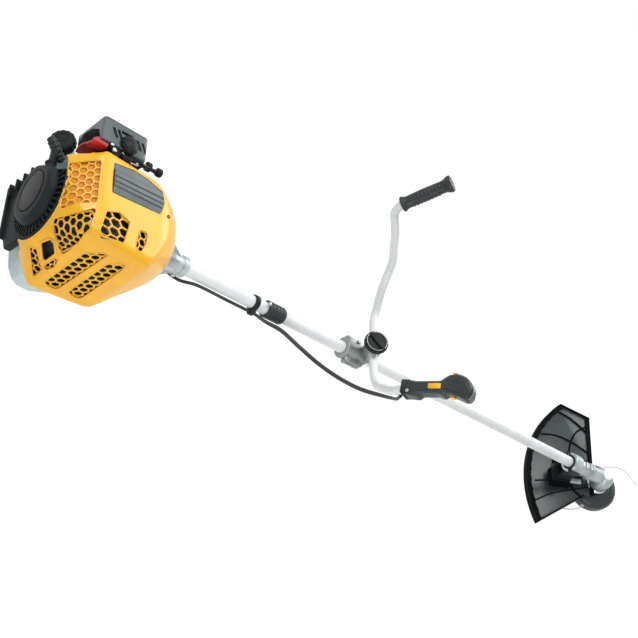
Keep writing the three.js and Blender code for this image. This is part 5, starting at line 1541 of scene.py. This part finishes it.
@dataclass
class Handlebar:
    """The bicycle handlebar, its clamp and knob, and the left grip."""

    radius: float = 9.5
    grip_start: Vector = (-129.0, 221.0, 205.0)
    grip_aim: Vector = (44.0, 26.0, 119.0)
    bar_end: float = 62.0
    knob_radius: float = 27.5

    def build(self) -> None:
        """Makes the bar, the clamp, the knob and the left grip."""
        self._bar()
        self._clamp()
        self._knob()
        self._left_grip()

    def _bar(self) -> None:
        """Bends the bar: one half from the clamp outwards, and its mirror image."""
        aim = np.array(self.grip_aim) / np.linalg.norm(self.grip_aim)
        ends = [tuple(np.array(self.grip_start) + aim * s) for s in (0, 40, self.bar_end)]
        half = np.array([(0, 9, 0), (0, 27, 0), (1, 56, 0), (3, 78, 1), (2, 96, 9), (-7, 110, 24),
                         (-22, 126, 49), (-36, 147, 81), (-50, 162, 107), (-69, 175, 127),
                         (-87, 188, 147), (-107, 202, 165), (-125, 214, 181), *ends], float)
        path = smooth_path(np.vstack([(half * (1, -1, 1))[::-1], half]), 8)
        bar = sweep(path + np.array(CLAMP.origin), disc(self.radius, 32))
        piece("bar_tube", bar, SILVER, Body.BAR, ("handlebar",))

    def _clamp(self) -> None:
        """Makes the cast clamp: a sleeve on the tube, bolted ears and the crown on top."""
        sleeve = lathe([(14.3, 648), (23, 648), (24.6, 649.5), (24.6, 655), (22.8, 658),
                        (22.4, 664), (22.4, 712), (21, 716), (14.3, 716)], 64, CRANK, closed=True)
        crown = lathe([(0, -40), (20.4, -40), (21, -14), (21, 14), (19.4, 16.2), (0, 16.2)], 56,
                      CLAMP)
        ears = [block((654, -33, low), (708, 33, high), 9.0, 2.2, ENGINE)
                for low, high in ((-8.5, -0.6), (0.6, 8.5))]
        web = block((-14, -15, -38), (14, 15, -8), 5.0, 3.0, CLAMP)
        piece("clamp_body", Shape.join(sleeve, crown, *ears, web), DULL, Body.FRAME,
              ("handle_base", "handle_base_lower", "handle_cap"))
        bolts = [lathe([(0, -11.5), (4.6, -11.5), (4.6, 11.5), (3.6, 12.6), (0, 12.6)], 6,
                       ENGINE.moved((x, y, 0.0))) for x in (662.0, 694.0) for y in (-27.0, 27.0)]
        piece("clamp_bolts", Shape.join(*bolts), DULL)

    def _knob(self) -> None:
        """Makes the clamp knob: a lobed disc with a ridge across and a pale rim line."""
        top, r = self.radius + 7.0, self.knob_radius
        body = knurled([(0, top + 1), (r - 3, top + 1), (r, top + 3.5), (r, top + 10),
                        (r - 1.2, top + 12), (r - 4, top + 14.4), (r - 6, top + 14.8),
                        (r - 7.5, top + 13.2), (0, top + 12.4)], 192, 18, 0.02, r - 4.0, 3.0)
        ridge = slab(rounded([(-r + 4, -5), (r - 4, -5), (r - 4, 5), (-r + 4, 5)], 4.0), top + 11,
                     top + 19, 2.6, 4).placed(Place.turned(-50.0))
        stem = lathe([(0, top - 4), (4, top - 4), (4, top + 2), (0, top + 2)], 20)
        knob = Shape.join(body, ridge, stem).placed(CLAMP)
        piece("knob_body", knob, BLACK, Body.BAR_KNOB, ("clamp_knob",))
        rim = lathe([(r - 5.2, top + 14.6), (r - 4.6, top + 15.2), (r - 3.9, top + 15.0),
                     (r - 4.6, top + 14.0)], 96, CLAMP, closed=True)
        piece("knob_rim", rim, WHITE, Body.BAR_KNOB)

    def _left_grip(self) -> None:
        """Makes the plain rubber grip with its flanges and slanted ribs.

        A rib runs along (13.9 cos t, 13.9 sin t, height - 5 cos t) over most of the near side.
        """
        sleeve = lathe([(self.radius + 0.3, 0.5), (15.5, 0), (17, 1.2), (17.6, 3.5), (16.4, 6.5),
                        (14.2, 10), (13.6, 16), (14.2, 40), (14.6, 56), (14.2, 76), (13.8, 92),
                        (14.4, 100), (16.6, 105), (18.6, 109), (18.9, 113), (18.2, 116.5),
                        (15, 118), (0, 118), (0, 65), (self.radius + 0.3, 65)], 56, LEFT_GRIP)
        t = np.radians(np.linspace(-180.0, -20.0, 28))
        rings = []
        for height in np.linspace(28.0, 86.0, 8):
            path = np.column_stack([13.9 * np.cos(t), 13.9 * np.sin(t), height - 5.0 * np.cos(t)])
            rings.append(sweep(LEFT_GRIP.world(path), disc(1.7, 8)))
        piece("rubber_grip", Shape.join(sleeve, *rings), RUBBER, Body.BAR, ("left_grip",))


@dataclass
class ControlGrip:
    """The right grip's shells, ribs, bolt and pale lines; its controls come with the frame."""

    half: float = 17.0
    outline: tuple[tuple[float, float], ...] = (
        (-11, -6), (13, -5), (15.5, 6), (12.5, 26), (13.5, 76), (20, 84), (26, 93), (28, 107),
        (23, 122), (13, 134), (-3, 143), (-15, 142), (-24, 136), (-24, 127), (-19, 115),
        (-13.5, 101), (-12.5, 90), (-17, 84), (-12.5, 70), (-12.5, 38), (-19, 31), (-18, 20),
        (-15, 4))

    def build(self) -> None:
        """Makes the two shells, the ribs at their foot, the bolt and thin pale lines over the
        grip's end.
        """
        side = RIGHT_GRIP.aimed(Axis.X)
        line = rounded(self.outline, 7.0, 4)
        for name, low, high in (("shell_front", 0.2, self.half), ("shell_rear", -self.half, -0.2)):
            shell = self._shell(line, low, high).placed(side)
            piece(name, shell, SHEEN, Body.BAR, (f"throttle_{name}",))
        ribs = [slab(rounded([(-16, z), (14.5, z), (14.5, z + 3), (-16, z + 3)], 1.2),
                     -self.half - 0.8, self.half + 0.8, 4.0, 4, side) for z in (-2.0, 4.0, 10.0)]
        piece("grip_collar", Shape.join(*ribs), RUBBER, Body.BAR)
        bolt = lathe([(0, -1.2), (3.4, -1.2), (3.4, 0.9), (2.8, 1.4), (0, 1.4)], 20,
                     RIGHT_GRIP.aimed(Axis.X, (-self.half, -10.0, 12.0)))
        piece("grip_bolts", bolt, STEEL, Body.BAR)
        rim = np.array(self.outline[6:13]) * 1.004
        pale_lines = [sweep(RIGHT_GRIP.world(smooth_path([(x, y, z) for y, z in rim], 6)), disc(0.9, 8))
                 for x in (-8.6, -4.8, 0.0, 5.0)]
        piece("grip_pale_lines", Shape.join(*pale_lines), DULL, Body.BAR)

    @staticmethod
    def _shell(line: np.ndarray, low: float, high: float) -> Shape:
        """Crowns one shell: flat at the joint line and rolled over at its outer face.

        At turn t of the roll the outline is inset by ease (1 - cos t) and lifted by ease sin t;
        the face then rises a little to its middle in three rings.

        Args:
            line: its outline.
            low: its lower face.
            high: its upper face.

        Returns:
            The shell in the grip's frame.
        """
        sign = 1.0 if high > 1.0 else -1.0
        flat, face = (low, high) if high > 1.0 else (high, low)
        turn = np.linspace(0.0, np.pi / 2.0, 7)
        ease = 7.5
        inward, lift = ease * (1.0 - np.cos(turn)), ease * np.sin(turn)
        rows = [np.column_stack([line, np.full(len(line), flat)])]
        rows += [np.column_stack([inset(line, d), np.full(len(line), face - sign * (ease - h))])
                 for d, h in zip(inward, lift)]
        middle, last = line.mean(0), rows[-1][:, :2]
        rows += [np.column_stack([middle + (last - middle) * k,
                                  np.full(len(line), face + sign * rise)])
                 for k, rise in ((0.8, 0.5), (0.5, 1.0), (0.2, 1.2))]
        return Shape.grid(np.stack(rows))


# -------------------------------------------------------------------------- gear head


@dataclass
class GearHead:
    """Gear case, line head with its two lines, and the guard."""

    neck_rear: float = -121.0
    head_radius: float = 66.0
    head_top: float = -44.0
    head_bottom: float = -84.0
    line_turn: float = 58.0
    line_radius: float = 1.4
    guard_centre: tuple[float, float] = (94.0, -14.0)
    guard_radius: float = 310.0
    deck_ribs: tuple[tuple[tuple[float, float], ...], ...] = (
        ((-103, 208), (-70, 194), (-31, 165), (-9, 142)),
        ((-159, 131), (-118, 132), (-67, 116), (-19, 89)),
        ((-81, 81), (-70, 118), (-48, 152), (-10, 176)),
        ((-191, -14), (-140, -6), (-99, 5)),
        ((-196, -73), (-144, -47), (-36, -17)),
        ((-85, -6), (-77, -30), (-52, -50)))

    def build(self) -> None:
        """Makes everything about the output axis."""
        self._case()
        self._head()
        self._lines()
        self._guard()

    def _case(self) -> None:
        """Makes the cast case, its neck, the clamp band and the white cap."""
        bulb = lathe([(0, -32), (26, -32), (28, -29), (28.4, -24), (28, 2), (26.5, 10), (22, 18),
                      (17.5, 25), (15, 26), (0, 26)], 72, HEAD)
        shaft = Place(HEAD.origin)
        neck = lathe([(14.2, self.neck_rear), (18.4, self.neck_rear), (19, self.neck_rear + 1),
                      (19, -77), (22.6, -75.5), (23, -74.5), (23, -66.5), (22.6, -65.5),
                      (20.4, -64.5), (20.4, -46), (22, -26), (19, -8), (0, -8), (0, -80),
                      (14.2, -80)], 64, shaft.aimed(Axis.X))
        webs = [block((-60, side * 8 - 1.5, 12), (-20, side * 8 + 1.5, 24), 2.0, 1.0, HEAD)
                for side in (-1, 1)]
        lug = block((-80, -6, -30), (-62, 6, -18), 3.0, 1.2, shaft)
        piece("case_body", Shape.join(bulb, neck, *webs, lug), CAST, Body.FRAME, ("gear_case",))
        cap = lathe([(0, 25.6), (14.4, 25.6), (14.8, 27), (14.8, 30), (13.6, 32.6), (11, 33.6),
                     (0, 34)], 48, HEAD)
        piece("case_cap", cap, WHITE, Body.FRAME, ("gear_cap",))
        bolts = [lathe([(0, -8), (4.4, -8), (4.4, 8), (3.4, 9), (0, 9)], 6,
                       shaft.aimed(Axis.Y, (x, 0.0, 20.0))) for x in (-108.0, -88.0)]
        piece("case_bolts", Shape.join(*bolts), CAST)
        band = lathe([(14.3, -164), (25, -164), (26.4, -162.6), (26.4, -132.4), (25, -131),
                      (14.3, -131)], 56, shaft.aimed(Axis.X), closed=True)
        piece("bracket_band", band, CAST)

    def _head(self) -> None:
        """Makes the ribbed line head and the bump knob under it."""
        r, top, low = self.head_radius, self.head_top, self.head_bottom
        shell = lathe([(6.4, top + 2.7), (24, top + 2.7), (24.5, top + 0.4), (r - 13, top - 0.4),
                       (r - 4, top - 5), (r, top - 12), (r, low + 4), (r - 0.8, low), (r - 4, low),
                       (r - 4, top - 14), (r - 16, top - 4), (6.4, top - 3)], 96, HEAD, closed=True)
        ribs = lathe([(r - 20, top - 3), (r - 20, top + 2.0), (r - 18.6, top + 2.4),
                      (r - 17, top + 1.6), (r - 16.4, top - 3)], 96, HEAD, closed=True)
        grips = lathe([(r - 1, low + 14), (r + 1.2, low + 15), (r + 1.6, low + 20),
                       (r + 1.2, low + 25), (r - 1, low + 26)], 96, HEAD, closed=True)
        piece("line_head", Shape.join(shell, ribs, grips), SHEEN, Body.HEAD, ("head_housing",))
        eyes = [lathe([(2.0, r - 6), (3.3, r - 6), (4.6, r + 0.8), (4.2, r + 2.2), (2.0, r + 2.2)],
                      24, HEAD.moved((0.0, 0.0, top - 24.0), *self._around(turn)), closed=True)
                for turn in (self.line_turn, self.line_turn + 180.0)]
        piece("line_eyes", Shape.join(*eyes), STEEL, Body.HEAD)
        knob = lathe([(0, low - 20.4), (12, low - 20.2), (21, low - 19), (28, low - 15),
                      (31.4, low - 8), (32, low + 1), (0, low + 1)], 64, HEAD)
        piece("bump_button", knob, BLACK, Body.BUMP, ("bump_knob",))

    @staticmethod
    def _around(turn: float) -> tuple[Vector, Vector, Vector]:
        """Returns axes whose Z points outward from the output axis.

        Args:
            turn: the angle about the output axis, in degrees.

        Returns:
            The three axes, in the row frame.
        """
        c, s = math.cos(math.radians(turn)), math.sin(math.radians(turn))
        out = c * np.array(HEAD.x) + s * np.array(HEAD.y)
        side = np.cross(HEAD.z, out)
        return tuple(side), HEAD.z, tuple(out)

    def _lines(self) -> None:
        """Runs the two nylon lines out of their eyes and round with the spin."""
        z = self.head_top - 24.0
        path = np.array([(58, 0, z), (72, 0, z), (87, -9, z - 1), (101, -24, z - 2),
                         (112, -43, z - 3), (115, -62, z - 4), (111, -81, z - 4),
                         (103, -101, z - 4), (97, -113, z - 4)], float)
        for name, turn in (("a", self.line_turn), ("b", self.line_turn + 180.0)):
            route = HEAD.world(Place.turned(turn).world(smooth_path(path, 8)))
            made = piece(f"nylon_{name}", sweep(route, disc(self.line_radius, 10)), NYLON,
                         Body.HEAD, (f"trimmer_line_{name}",))
            route = route * MM

    def _guard(self) -> None:
        """Makes the guard: a rimmed deck with curved ribs, a skirt and the bracket seat.

        The border's inner edge waves: it lies 15.5 - 2.2 |sin| within the rim, thirteen times.
        """
        centre, radius = self.guard_centre, self.guard_radius
        low, top = -38.0, -35.0
        nose = [(-46.0, -44.0), (-14.0, -40.0), (-4.0, 200.0)]
        rim = arc(centre, radius, 127.0, 203.0, 64)
        deck = slab(np.vstack([rim, nose]), low, top, 0.9, 2, HEAD)
        teeth = 15.5 - 2.2 * np.abs(np.sin(np.linspace(0.0, 13.0 * np.pi, 157)))[:, None]
        inner = arc(centre, radius, 202.4, 127.6, 156)
        inner = np.array(centre) + (inner - centre) * (1.0 - teeth / radius)
        border = slab(np.vstack([arc(centre, radius, 127.6, 202.4, 64), inner]), top - 1,
                      top + 3.5, 0.6, 1, HEAD)
        lip = slab(np.vstack([arc(centre, radius, 127.3, 202.7, 64),
                              arc(centre, radius - 3.0, 202.7, 127.3, 64)]), -54.6, top + 7, 0.9,
                   2, HEAD)
        across = np.array(((-1.7, -2.4), (1.7, -2.4), (1.1, 3.0), (-1.1, 3.0)))
        ribs = [sweep(HEAD.world(smooth_path([(x, y, top + 1.0) for x, y in line], 8)), across)
                for line in self.deck_ribs]
        made = bare("guard_deck", deck)
        carve(made, [lathe([(0, -60), (34, -60), (34, 60), (0, 60)], 64, HEAD)])
        finish_off(made, DECK, Body.FRAME, ("guard",))
        sides = [self._edge(rim[-1], nose[0], -52.0, top + 6, 4.0),
                 self._edge(nose[2], rim[0], low, top + 6, 4.0),
                 self._edge(nose[1], nose[2], low, top + 4, 12.0)]
        seat = block((-150, -26, top - 1), (-88, 26, 5), 6.0, 2.5, HEAD)
        floor = slab(rounded([(-139, -8), (-45, -6), (-60, 64), (-133, 64)], 5.0), top - 1, top + 5,
                     1.5, 2, HEAD)
        piece("guard_ribs", Shape.join(border, lip, *ribs, *sides, seat, floor), PITCH)
        tabs = [block((-106, -27, 2), (-72, -13, 9), 3.0, 1.2, HEAD),
                block((-106, 30, -28), (-80, 46, -18), 3.0, 1.2, HEAD)]
        heads = [lathe([(0, z), (6, z), (6, z + 4), (5, z + 5.2), (0, z + 5.2)], 6,
                       HEAD.moved((x, y, 0.0)))
                 for x, y, z in ((-80.0, -20.0, 8.5), (-88.0, 38.0, -18.5), (-98.0, -20.0, 8.5))]
        piece("guard_tabs", Shape.join(*tabs, *heads), CAST)

    @staticmethod
    def _edge(start: Sequence[float], end: Sequence[float], low: float, high: float,
              wide: float) -> Shape:
        """Runs an upright strip along a straight edge of the deck.

        Args:
            start: where the edge starts.
            end: where it ends.
            low: the strip's foot.
            high: the strip's top.
            wide: how far it reaches in from the edge.

        Returns:
            The strip in the row frame.
        """
        a, b = np.array(start, float), np.array(end, float)
        step = (b - a) / np.linalg.norm(b - a)
        side = np.array((-step[1], step[0]))
        line = np.array((a + side * 0.5, b + side * 0.5, b + side * wide, a + side * wide))
        return slab(line, low, high, 0.9, 2, HEAD)


# ------------------------------------------------------------------------------- studio


WHITE_LIGHT = (1.0, 1.0, 1.0, 1.0)
ROOM_LIGHT = (0.95, 0.97, 1.0, 1.0)


def stand(made: bpy.types.Object, place: Vector, axes: Sequence[Vector]) -> None:
    """Stands a camera or a lamp in the scene.

    Args:
        made: its object.
        place: where it stands, in metres.
        axes: its right, its up and the way its back faces.
    """
    turn = Matrix(axes).transposed().to_4x4()
    made.matrix_world = Matrix.Translation(place) @ turn
    show(made)


@dataclass(frozen=True)
class Lamp:
    """A soft square lamp: its place and target in metres, its size and its power."""

    name: str
    place: Vector
    target: Vector
    size: float
    power: float

    def hang(self) -> None:
        """Hangs the lamp, facing its target."""
        data = bpy.data.lights.new(self.name, "AREA")
        data.size = self.size
        data.energy = self.power
        away = np.subtract(self.place, self.target)
        away /= np.linalg.norm(away)
        side = np.cross(ROW.z, away)
        side /= np.linalg.norm(side)
        stand(bpy.data.objects.new(self.name, data), self.place,
              (side, np.cross(away, side), away))


@dataclass(frozen=True)
class Studio:
    """Camera, pale floor and soft lamps."""

    place: Vector = (-0.9059, -1.2015, 1.6948)
    right: Vector = (0.71102, 0.02226, 0.70282)
    up: Vector = (-0.36736, 0.86402, 0.34428)
    back: Vector = (-0.59959, -0.50297, 0.6225)
    lens: float = 63.073
    floor_half: float = 9.0
    floor_glow: float = 1.12
    floor_share: float = 0.86
    room: float = 0.36
    lamps: tuple[Lamp, ...] = (
        Lamp("key", (0.2, 0.9, 3.0), (0.5, 0.0, 0.2), 1.4, 46.0),
        Lamp("fill", (0.1, -3.0, 0.9), (0.5, 0.0, 0.2), 1.8, 42.0),
        Lamp("ridge", (-1.7, 1.4, 2.0), (0.1, 0.0, 0.2), 0.9, 26.0),
        Lamp("side", (2.4, 1.5, 1.6), (0.3, 0.0, 0.2), 1.5, 34.0),
    )

    def build(self) -> None:
        """Makes the camera, the floor, the world and the lamps."""
        self._camera()
        self._floor()
        self._world()
        for lamp in self.lamps:
            lamp.hang()

    def _camera(self) -> None:
        """Stands the camera at the object's viewing angle."""
        data = bpy.data.cameras.new("camera")
        data.lens = self.lens
        data.sensor_width = 36.0
        data.clip_end = 60.0
        camera = bpy.data.objects.new("camera", data)
        stand(camera, self.place, (self.right, self.up, self.back))
        bpy.context.scene.camera = camera

    def _floor(self) -> None:
        """Lays a plain pale floor that stays white to the camera and keeps the shadow."""
        h = self.floor_half
        mesh = bpy.data.meshes.new("floor")
        mesh.from_pydata([(-h, -h, 0), (h, -h, 0), (h, h, 0), (-h, h, 0)], [], [(0, 1, 2, 3)])
        floor = bpy.data.objects.new("floor", mesh)
        show(floor)
        material = bpy.data.materials.new("floor_paper")
        graph = Graph.cleared(material)
        output = graph.add("ShaderNodeOutputMaterial")
        paper = graph.add("ShaderNodeBsdfDiffuse", {"Color": (0.82, 0.82, 0.82, 1.0)})
        glow = graph.add("ShaderNodeEmission", {"Color": WHITE_LIGHT, "Strength": self.floor_glow})
        share = graph.add("ShaderNodeMath")
        share.operation = "MULTIPLY"
        share.inputs[1].default_value = self.floor_share
        graph.join(self._seen(graph), share.inputs[0])
        self._mix(graph, share.outputs["Value"], paper.outputs["BSDF"], glow.outputs["Emission"],
                  output)
        mesh.materials.append(material)

    @staticmethod
    def _mix(graph: Graph, share: bpy.types.NodeSocket, first: bpy.types.NodeSocket,
             second: bpy.types.NodeSocket, output: bpy.types.Node) -> None:
        """Mixes two shaders and joins them to the output.

        Args:
            graph: the graph they are in.
            share: how much of the second one shows.
            first: the first shader.
            second: the second shader.
            output: the output node.
        """
        mix = graph.add("ShaderNodeMixShader")
        for end, start in zip(mix.inputs, (share, first, second)):
            graph.join(start, end)
        graph.join(mix.outputs["Shader"], output.inputs["Surface"])

    @staticmethod
    def _seen(graph: Graph) -> bpy.types.NodeSocket:
        """Adds a mask of the camera, glossy and transmission rays.

        Args:
            graph: the graph it is in.

        Returns:
            The mask's socket.
        """
        rays = graph.add("ShaderNodeLightPath").outputs
        total = rays["Is Camera Ray"]
        for name in ("Is Glossy Ray", "Is Transmission Ray"):
            total = graph.combine("MAXIMUM", total, rays[name])
        return total

    def _world(self) -> None:
        """Fills the room with an even, soft light and a white background."""
        world = bpy.data.worlds.new("studio")
        bpy.context.scene.world = world
        graph = Graph.cleared(world)
        output = graph.add("ShaderNodeOutputWorld")
        room = graph.add("ShaderNodeBackground", {"Color": ROOM_LIGHT, "Strength": self.room})
        white = graph.add("ShaderNodeBackground", {"Color": WHITE_LIGHT, "Strength": 1.0})
        self._mix(graph, self._seen(graph), room.outputs["Background"],
                  white.outputs["Background"], output)
        bpy.context.scene.view_settings.view_transform = "Standard"


def main() -> None:
    """Builds and dresses the trimmer, one sub-assembly after another."""
    logging.basicConfig(level=logging.INFO, format="%(message)s")
    for assembly in (Studio, EngineCover, RecoilStarter, FuelTank, AirBox, ClutchNose,
                     ShaftFittings, Handlebar, ControlGrip, GearHead, FrameDress):
        LOG.info("building %s", assembly.__name__)
        assembly().build()


if __name__ == "__main__":
    main()
